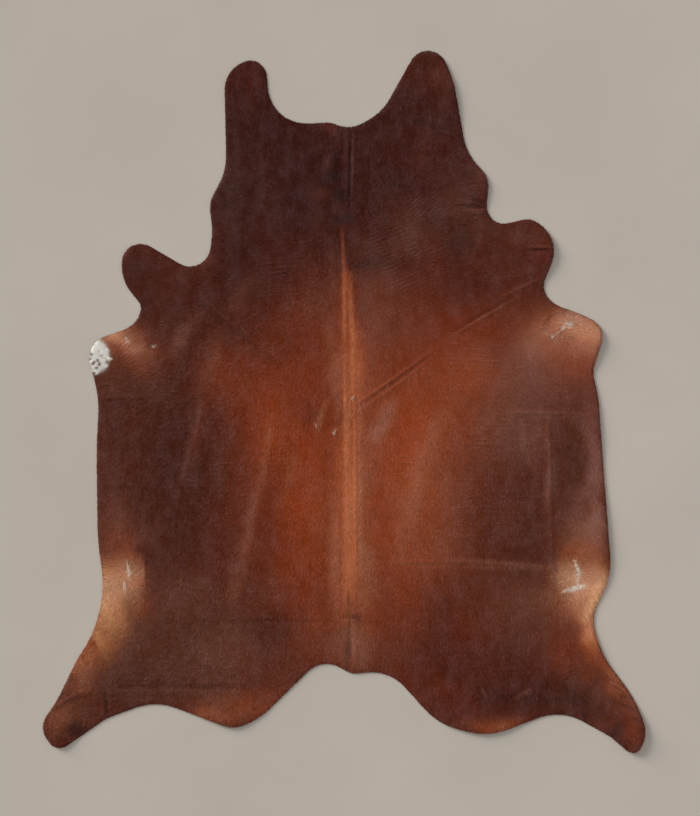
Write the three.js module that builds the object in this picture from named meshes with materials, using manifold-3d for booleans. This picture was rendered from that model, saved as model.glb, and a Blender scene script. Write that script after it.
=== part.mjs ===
// A natural cowhide rug: one whole hide lying flat, hair side up.
// Millimetres, +Z up. The floor is z = 0, the spine runs along Y with the neck at +Y,
// and the origin is on the floor under the middle of the hide.
import * as THREE from "three";
import { mergeVertices } from "three/addons/utils/BufferGeometryUtils.js";
import Module from "manifold-3d";

const wasm = await Module();
wasm.setup();

// Sizes of the sheet
const HIDE_THICKNESS = 4; // about 2 of leather and 2 of hair lying flat on it
const OUTLINE_STEPS = 520; // even steps along the cut edge, about 16 mm each

// The square blank that the relief is drawn on before the hide is cut from it
const BLANK_SIDE = 2560;
const BLANK_CELLS = 256; // a power of two, so cells are 10 mm
const BLANK_BASE = -20;
const KNIFE_TOP = 60;
const HAIR_SIDE_TOLERANCE = 0.34; // how far the hair side may miss the true relief
const FLESH_SIDE_TOLERANCE = 0.55;

// The sheet touches the floor where its swells are lower than this, and leaves it softly
const CONTACT_HEIGHT = 0.8;
const LIFT_SOFTNESS = 1.2;

// The outline is a belt run round circles. A lobe is hide that sticks out, with its circle inside
// the edge, and a bay is floor that reaches in, with its circle outside the edge.
// The rows run clockwise, as seen from the hair side, and r is the radius of the round stretch.
const LOBE = 1;
const BAY = -1;

const HEAD_EDGE = [
  { at: "left cheek", kind: LOBE, x: -289, y: 999, r: 92 },
  { at: "left cheek tip", kind: LOBE, x: -298, y: 1040, r: 51 },
  { at: "left of the poll", kind: BAY, x: -121, y: 1012, r: 123 },
  { at: "poll, left side", kind: BAY, x: -104, y: 1117, r: 228 },
  { at: "poll corner", kind: LOBE, x: -48, y: 854, r: 38 },
  { at: "poll notch", kind: BAY, x: 13, y: 970, r: 93 },
  { at: "right of the poll", kind: BAY, x: -21, y: 1068, r: 195 },
  { at: "right cheek tip", kind: LOBE, x: 268, y: 1060, r: 62 },
  { at: "right cheek", kind: LOBE, x: 31, y: 927, r: 332 },
];

const RIGHT_FORELEG_EDGE = [
  { at: "jaw", kind: BAY, x: 548, y: 871, r: 168 },
  { at: "jaw corner", kind: LOBE, x: 385, y: 690, r: 75 },
  { at: "throat", kind: BAY, x: 509, y: 625, r: 55 },
  { at: "foreleg, front corner", kind: LOBE, x: 588, y: 549, r: 36 },
  { at: "foreleg end", kind: LOBE, x: 560, y: 481, r: 109 },
  { at: "elbow", kind: BAY, x: 690, y: 370, r: 54 },
  { at: "elbow root", kind: BAY, x: 742, y: 413, r: 121 },
];

const RIGHT_SIDE_EDGE = [
  { at: "armpit flap, front", kind: LOBE, x: 678, y: 71, r: 223 },
  { at: "armpit flap tip", kind: LOBE, x: 766, y: 211, r: 59 },
  { at: "girth", kind: BAY, x: 887, y: 95, r: 90 },
  { at: "belly, front", kind: LOBE, x: 467, y: -36, r: 349 },
  { at: "belly nick", kind: BAY, x: 955, y: -56, r: 137 },
  { at: "flank bulge", kind: LOBE, x: 627, y: -508, r: 224 },
  { at: "flank", kind: BAY, x: 937, y: -700, r: 139 },
];

const RIGHT_HIND_LEG_EDGE = [
  { at: "thigh", kind: BAY, x: 1098, y: -674, r: 300 },
  { at: "shin", kind: LOBE, x: 532, y: -1162, r: 447 },
  { at: "leg end", kind: LOBE, x: 870, y: -1052, r: 92 },
  { at: "leg end, heel", kind: LOBE, x: 923, y: -1095, r: 26 },
  { at: "shank", kind: BAY, x: 796, y: -1147, r: 96 },
  { at: "hock", kind: BAY, x: 680, y: -1161, r: 164 },
];

const RUMP_EDGE = [
  { at: "right rump", kind: LOBE, x: 448, y: -833, r: 225 },
  { at: "right rump, inner side", kind: LOBE, x: 410, y: -844, r: 204 },
  { at: "right of the tail", kind: BAY, x: 90, y: -998, r: 137 },
  { at: "tail stub", kind: LOBE, x: 34, y: -819, r: 47 },
  { at: "left of the tail", kind: BAY, x: -55, y: -917, r: 83 },
  { at: "left rump, inner side", kind: LOBE, x: -394, y: -821, r: 223 },
  { at: "left rump", kind: LOBE, x: -353, y: -940, r: 98 },
];

const LEFT_HIND_LEG_EDGE = [
  { at: "hock", kind: BAY, x: -600, y: -1145, r: 181 },
  { at: "shank", kind: BAY, x: -698, y: -1124, r: 128 },
  { at: "leg end, heel", kind: LOBE, x: -908, y: -1071, r: 35 },
  { at: "leg end", kind: LOBE, x: -900, y: -1037, r: 61 },
  { at: "shin", kind: BAY, x: -1247, y: -759, r: 383 },
  { at: "shin corner", kind: LOBE, x: -772, y: -876, r: 96 },
];

const LEFT_SIDE_EDGE = [
  { at: "flank", kind: BAY, x: -1177, y: -575, r: 407 },
  { at: "flank bulge", kind: LOBE, x: -95, y: -378, r: 692 },
  { at: "belly", kind: LOBE, x: 274, y: -168, r: 1064 },
  { at: "girth", kind: BAY, x: -1137, y: -19, r: 353 },
  { at: "armpit flap tip", kind: LOBE, x: -741, y: 142, r: 71 },
  { at: "armpit", kind: BAY, x: -733, y: 311, r: 88 },
];

const LEFT_FORELEG_EDGE = [
  { at: "elbow", kind: BAY, x: -678, y: 299, r: 32 },
  { at: "foreleg, outer side", kind: LOBE, x: -576, y: 433, r: 132 },
  { at: "foreleg end", kind: LOBE, x: -649, y: 448, r: 58 },
  { at: "throat", kind: BAY, x: -491, y: 501, r: 68 },
  { at: "throat, upper side", kind: BAY, x: -651, y: 548, r: 232 },
  { at: "jaw corner", kind: LOBE, x: -342, y: 620, r: 84 },
  { at: "jaw", kind: BAY, x: -556, y: 780, r: 180 },
];

const EDGE = [
  ...HEAD_EDGE,
  ...RIGHT_FORELEG_EDGE,
  ...RIGHT_SIDE_EDGE,
  ...RIGHT_HIND_LEG_EDGE,
  ...RUMP_EDGE,
  ...LEFT_HIND_LEG_EDGE,
  ...LEFT_SIDE_EDGE,
  ...LEFT_FORELEG_EDGE,
];

// Low swells where the sheet stands a little off the floor, each a long soft hump.
// x and y are its middle, long and wide its half sizes, and turn is the angle of its long way
// from +Y towards +X in degrees.
const SWELLS = [
  { at: "left back, beside the spine", x: -262, y: -300, long: 330, wide: 42, turn: 12, rise: 4.6 },
  { at: "left shoulder, outer", x: -548, y: 135, long: 200, wide: 40, turn: 20, rise: 3.4 },
  { at: "left shoulder, inner", x: -470, y: 40, long: 190, wide: 34, turn: 9, rise: 2.8 },
  { at: "right back", x: 251, y: -249, long: 270, wide: 42, turn: 12, rise: 3.8 },
  { at: "right back, beside the spine", x: 116, y: 70, long: 90, wide: 30, turn: 26, rise: 2.4 },
  { at: "right side, along the belly", x: 654, y: -330, long: 330, wide: 44, turn: -2, rise: 4.8 },
  { at: "left flank whorl", x: -700, y: -560, long: 80, wide: 60, turn: 30, rise: 3.0 },
  { at: "right flank whorl", x: 724, y: -570, long: 80, wide: 60, turn: -20, rise: 3.2 },
  { at: "left of the neck", x: -200, y: 620, long: 200, wide: 60, turn: -20, rise: 2.6 },
  { at: "right of the neck", x: 240, y: 560, long: 220, wide: 60, turn: 15, rise: 2.6 },
];

// The cut edge curls up off the floor at the flaps and leg ends, most on the right side.
const CURLS = [
  { at: "left cheek", x: -370, y: 1010, long: 90, wide: 46, turn: 5, rise: 6 },
  { at: "right cheek", x: 360, y: 1010, long: 120, wide: 60, turn: -8, rise: 9 },
  { at: "right jaw corner", x: 465, y: 690, long: 70, wide: 45, turn: 0, rise: 7 },
  { at: "right foreleg end", x: 665, y: 480, long: 95, wide: 60, turn: -10, rise: 11 },
  { at: "right armpit flap", x: 825, y: 190, long: 90, wide: 60, turn: -5, rise: 11 },
  { at: "right belly, front", x: 815, y: -70, long: 130, wide: 40, turn: 0, rise: 7 },
  { at: "right flank bulge", x: 850, y: -430, long: 190, wide: 55, turn: 0, rise: 9 },
  { at: "right thigh", x: 810, y: -800, long: 110, wide: 45, turn: -20, rise: 6 },
  { at: "right leg end", x: 955, y: -1080, long: 110, wide: 80, turn: -25, rise: 13 },
  { at: "right rump", x: 470, y: -1060, long: 60, wide: 190, turn: 5, rise: 8 },
  { at: "left rump", x: -370, y: -1040, long: 55, wide: 150, turn: 0, rise: 7 },
  { at: "left leg end", x: -930, y: -1090, long: 70, wide: 90, turn: 30, rise: 8 },
  { at: "left flank bulge", x: -800, y: -330, long: 170, wide: 40, turn: -4, rise: 4 },
  { at: "left armpit flap", x: -810, y: 150, long: 75, wide: 45, turn: 0, rise: 5 },
  { at: "left foreleg end", x: -710, y: 460, long: 80, wide: 50, turn: 0, rise: 7 },
  { at: "left throat corner", x: -425, y: 660, long: 80, wide: 40, turn: 0, rise: 5 },
];

// Creases from the time the hide was folded for storage. Each runs from (x1, y1) to (x2, y2), bowed
// sideways by bow, to the left of that way where it is positive. A crease that rises is a soft ridge,
// and one that drops is a soft trough.
const CREASES = [
  { at: "right shoulder to spine", x1: 22, y1: -30, x2: 632, y2: 394, bow: -14, wide: 11, rise: 3.2 },
  { at: "left shoulder, upper", x1: -530, y1: 398, x2: -252, y2: 167, bow: -8, wide: 10, rise: 2.8 },
  { at: "spine, behind the neck", x1: 23, y1: 880, x2: 23, y2: 610, bow: 0, wide: 9, rise: 2.2 },
  { at: "spine, at the rump", x1: 20, y1: -690, x2: 26, y2: -850, bow: 0, wide: 9, rise: 1.8 },
  { at: "right ribs, front", x1: 500, y1: -34, x2: 800, y2: -34, bow: 4, wide: 10, rise: 2.0 },
  { at: "right loin", x1: 110, y1: -510, x2: 690, y2: -526, bow: 8, wide: 11, rise: 2.2 },
  { at: "left loin", x1: -450, y1: -690, x2: -40, y2: -700, bow: 6, wide: 11, rise: 2.0 },
  { at: "left rump", x1: -470, y1: -898, x2: -290, y2: -900, bow: 0, wide: 10, rise: 1.6 },
  { at: "left ribs, front", x1: -790, y1: 8, x2: -610, y2: 6, bow: 0, wide: 10, rise: -1.3 },
  { at: "left ribs, back", x1: -780, y1: -276, x2: -640, y2: -276, bow: 0, wide: 10, rise: -1.3 },
  { at: "right jaw, upper", x1: 330, y1: 672, x2: 452, y2: 672, bow: 0, wide: 9, rise: 1.8 },
  { at: "right jaw, lower", x1: 330, y1: 630, x2: 452, y2: 632, bow: 0, wide: 9, rise: -1.4 },
  { at: "right side, along the belly", x1: 652, y1: -30, x2: 664, y2: -620, bow: 6, wide: 11, rise: 1.6 },
  { at: "left shin", x1: -930, y1: -985, x2: -800, y2: -920, bow: 8, wide: 10, rise: 2.6 },
  { at: "left shank", x1: -758, y1: -1010, x2: -740, y2: -900, bow: 5, wide: 10, rise: -1.6 },
  { at: "right shank", x1: 720, y1: -960, x2: 830, y2: -1020, bow: 5, wide: 10, rise: -1.5 },
];

// The straight run between two circles leaves both at this angle of their outward radius.
function tangentAngle(from, to) {
  const across = to.x - from.x;
  const up = to.y - from.y;
  const apart = Math.hypot(across, up);
  const lean = (from.kind * from.r - to.kind * to.r) / apart;
  return Math.atan2(up, across) + Math.acos(lean);
}

function hideOutline() {
  const path = new THREE.Path();
  EDGE.forEach((round, i) => {
    const before = EDGE[(i + EDGE.length - 1) % EDGE.length];
    const after = EDGE[(i + 1) % EDGE.length];
    // A bay is touched on the far side of its circle and is run the other way round.
    const far = round.kind === BAY ? Math.PI : 0;
    const start = tangentAngle(before, round) + far;
    const end = tangentAngle(round, after) + far;
    path.absarc(round.x, round.y, round.r, start, end, round.kind === LOBE);
  });
  path.closePath();
  return new THREE.Shape(path.getSpacedPoints(OUTLINE_STEPS));
}

function bump(distance, width) {
  return Math.exp(-((distance / width) ** 2));
}

function humpHeight(hump, x, y) {
  const turn = THREE.MathUtils.degToRad(hump.turn);
  const dx = x - hump.x;
  const dy = y - hump.y;
  const along = dx * Math.sin(turn) + dy * Math.cos(turn);
  const across = dx * Math.cos(turn) - dy * Math.sin(turn);
  return hump.rise * bump(along, hump.long) * bump(across, hump.wide);
}

function creaseHeight(crease, x, y) {
  const runX = crease.x2 - crease.x1;
  const runY = crease.y2 - crease.y1;
  const length = Math.hypot(runX, runY);
  const along = ((x - crease.x1) * runX + (y - crease.y1) * runY) / length ** 2;
  if (along <= 0 || along >= 1) return 0;
  const side = (runX * (y - crease.y1) - runY * (x - crease.x1)) / length;
  const bowed = crease.bow * 4 * along * (1 - along);
  const taper = Math.sin(Math.PI * along) ** 0.7;
  return crease.rise * taper * bump(side - bowed, crease.wide);
}

function total(rows, height, x, y) {
  return rows.reduce((sum, row) => sum + height(row, x, y), 0);
}

// Height of the flesh side above the floor, exactly 0 where the sheet lies on it.
function fleshSide(x, y) {
  const raised = total(SWELLS, humpHeight, x, y) + total(CURLS, humpHeight, x, y);
  const free = Math.max(0, raised - CONTACT_HEIGHT);
  return free ** 2 / (free + LIFT_SOFTNESS);
}

function hairSide(x, y) {
  return fleshSide(x, y) + HIDE_THICKNESS + total(CREASES, creaseHeight, x, y);
}

// Triangles of the blank as [a, b, c], each corner a [column, row] of the grid, with c opposite the
// long side. A triangle is split at the middle of its long side wherever the surface misses it by
// more than the tolerance there or in a finer triangle inside it, so flat stretches stay large.
function adaptiveTriangles(surface, tolerance) {
  const points = BLANK_CELLS + 1;
  const height = new Float32Array(points * points);
  const needed = new Uint8Array(points * points);
  const index = ([column, row]) => row * points + column;
  for (let row = 0; row < points; row++) {
    for (let column = 0; column < points; column++) {
      height[index([column, row])] = surface(gridToHide(column), gridToHide(row));
    }
  }
  const middle = ([a, b]) => [(a[0] + b[0]) / 2, (a[1] + b[1]) / 2];
  const halves = ([a, b, c]) => {
    const m = middle([a, b]);
    return [
      [c, a, m],
      [b, c, m],
    ];
  };
  const splits = (triangle) => middle(triangle).every(Number.isInteger);

  const far = BLANK_CELLS;
  const roots = [
    [[0, 0], [far, far], [far, 0]],
    [[far, far], [0, 0], [0, far]],
  ];
  const levels = [roots];
  while (splits(levels[levels.length - 1][0])) {
    levels.push(levels[levels.length - 1].flatMap(halves));
  }
  for (const level of levels.reverse()) {
    for (const triangle of level.filter(splits)) {
      const [a, b] = triangle;
      const m = index(middle(triangle));
      const miss = Math.abs(height[m] - (height[index(a)] + height[index(b)]) / 2);
      const finer = halves(triangle).some((half) => splits(half) && needed[index(middle(half))]);
      if (miss > tolerance || finer) needed[m] = 1;
    }
  }

  const kept = [];
  const keep = (triangle) => {
    if (splits(triangle) && needed[index(middle(triangle))]) halves(triangle).forEach(keep);
    else kept.push(triangle);
  };
  roots.forEach(keep);
  return kept;
}

function gridToHide(step) {
  return (step / BLANK_CELLS - 0.5) * BLANK_SIDE;
}

// A closed block from the blank's flat base up to a surface.
function blockUnder(surface, tolerance) {
  const corners = [];
  const top = ([column, row]) => {
    const x = gridToHide(column);
    const y = gridToHide(row);
    return [x, y, surface(x, y)];
  };
  const base = ([column, row]) => [gridToHide(column), gridToHide(row), BLANK_BASE];
  const onRim = (p, q) =>
    [0, 1].some((axis) => p[axis] === q[axis] && (p[axis] === 0 || p[axis] === BLANK_CELLS));
  for (const [a, b, c] of adaptiveTriangles(surface, tolerance)) {
    corners.push(...top(a), ...top(c), ...top(b));
    corners.push(...base(a), ...base(b), ...base(c));
    for (const [p, q] of [[a, c], [c, b], [b, a]]) {
      if (onRim(p, q)) {
        corners.push(...top(q), ...top(p), ...base(p));
        corners.push(...top(q), ...base(p), ...base(q));
      }
    }
  }
  const positions = new THREE.Float32BufferAttribute(corners, 3);
  return new THREE.BufferGeometry().setAttribute("position", positions);
}

function toSolid(geometry) {
  geometry.deleteAttribute("normal");
  geometry.deleteAttribute("uv");
  const merged = mergeVertices(geometry, 1e-3);
  return new wasm.Manifold(
    new wasm.Mesh({
      numProp: 3,
      vertProperties: merged.attributes.position.array,
      triVerts: new Uint32Array(merged.index.array),
    }),
  );
}

function toGeometry(solid) {
  const mesh = solid.getMesh();
  return new THREE.BufferGeometry()
    .setAttribute("position", new THREE.BufferAttribute(mesh.vertProperties, 3))
    .setIndex(new THREE.BufferAttribute(mesh.triVerts, 1));
}

// The hide is what lies inside the cut edge, under the hair side and above the flesh side.
function hideGeometry() {
  const knife = new THREE.ExtrudeGeometry(hideOutline(), {
    depth: KNIFE_TOP - BLANK_BASE / 2,
    bevelEnabled: false,
  });
  knife.translate(0, 0, BLANK_BASE / 2);
  const underHair = toSolid(blockUnder(hairSide, HAIR_SIDE_TOLERANCE));
  const underFlesh = toSolid(blockUnder(fleshSide, FLESH_SIDE_TOLERANCE));
  return toGeometry(toSolid(knife).intersect(underHair).subtract(underFlesh));
}

const hairOnLeather = new THREE.MeshStandardMaterial({
  color: 0x5b2c1d,
  roughness: 0.55,
  metalness: 0,
});

const hide = new THREE.Mesh(hideGeometry(), hairOnLeather);
hide.name = "hide";

const rug = new THREE.Group();
rug.name = "cowhide_rug";
rug.add(hide);

export default rug;
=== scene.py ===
import math

import bmesh
import bpy
import numpy as np
from bpy.props import FloatProperty, FloatVectorProperty, IntProperty, PointerProperty
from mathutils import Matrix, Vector, kdtree
from mathutils.bvhtree import BVHTree
from mathutils.geometry import delaunay_2d_cdt


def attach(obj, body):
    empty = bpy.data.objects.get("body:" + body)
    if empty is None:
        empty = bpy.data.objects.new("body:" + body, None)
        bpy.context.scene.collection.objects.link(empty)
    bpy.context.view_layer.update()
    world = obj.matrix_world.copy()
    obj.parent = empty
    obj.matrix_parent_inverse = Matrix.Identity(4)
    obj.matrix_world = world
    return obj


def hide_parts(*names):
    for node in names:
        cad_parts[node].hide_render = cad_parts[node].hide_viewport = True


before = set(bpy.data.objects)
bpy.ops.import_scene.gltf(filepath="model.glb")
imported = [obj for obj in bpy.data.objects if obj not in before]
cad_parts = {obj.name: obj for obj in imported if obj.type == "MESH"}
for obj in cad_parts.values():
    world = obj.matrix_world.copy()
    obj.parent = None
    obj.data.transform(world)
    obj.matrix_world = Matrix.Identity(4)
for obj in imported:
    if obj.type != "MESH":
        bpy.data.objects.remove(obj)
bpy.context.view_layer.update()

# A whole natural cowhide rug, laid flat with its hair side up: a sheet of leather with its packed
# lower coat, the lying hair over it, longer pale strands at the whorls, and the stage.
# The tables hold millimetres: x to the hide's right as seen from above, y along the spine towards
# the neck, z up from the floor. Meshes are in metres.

bl_info = {
    "name": "Cowhide Rug",
    "version": (1, 0, 0),
    "blender": (4, 5, 0),
    "location": "3D View > Sidebar > Cowhide",
    "description": "Builds a natural cowhide rug with its coat of lying hair",
    "category": "Object",
}

MM = 0.001
HIDE_NODE = "hide"
BODY = "root"
UV_MAP = "OFBake"

FLAT_AREA = 2.77

# Colours of hair as the eye sees them, from 0 to 255
TONES = {
    "chalk": (225, 221, 212),
    "madder": (84, 28, 14),
    "dun": (122, 102, 72),
    # pale pink hair with painted sheen on it, at the armpits and flanks
    "pearl": (218, 184, 180),
    "peach": (186, 138, 118),
    "smoke": (92, 76, 82),
    # painted sheen, violet grey
    "violet": (132, 110, 146),
    "moss": (80, 52, 37),
    # painted sheen, bluish; also the colour of the painted glints on the locks and the ripples
    "lilac": (152, 128, 142),
    "amber": (168, 92, 48),
    "bay": (80, 41, 29),
    "plum": (55, 22, 16),
    "wine": (68, 28, 19),
    "umber": (66, 31, 20),
    "chestnut": (114, 49, 22),
    "orange": (150, 70, 28),
    "rust": (146, 74, 42),
    "copper": (166, 98, 70),
    "fawn": (156, 100, 78),
    "tan": (190, 134, 98),
    "cream": (222, 192, 160),
    "white": (233, 229, 220),
    # painted sheen: the milky grey light that the glossy hair reflects, mixed into its colour
    "bloom": (164, 138, 136),
    "dusk": (92, 54, 47),
    # near black: dark hair, and the painted shade in creases and folds
    "soot": (36, 17, 14),
    "ginger": (140, 78, 44),
    "slate": (74, 48, 44),
    "olive": (72, 40, 24),
}
BASE_TONE = "bay"

# What a row holds where it leaves a column out
USUAL = {"turn": 0, "edge": 1, "bow": 0}

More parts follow.
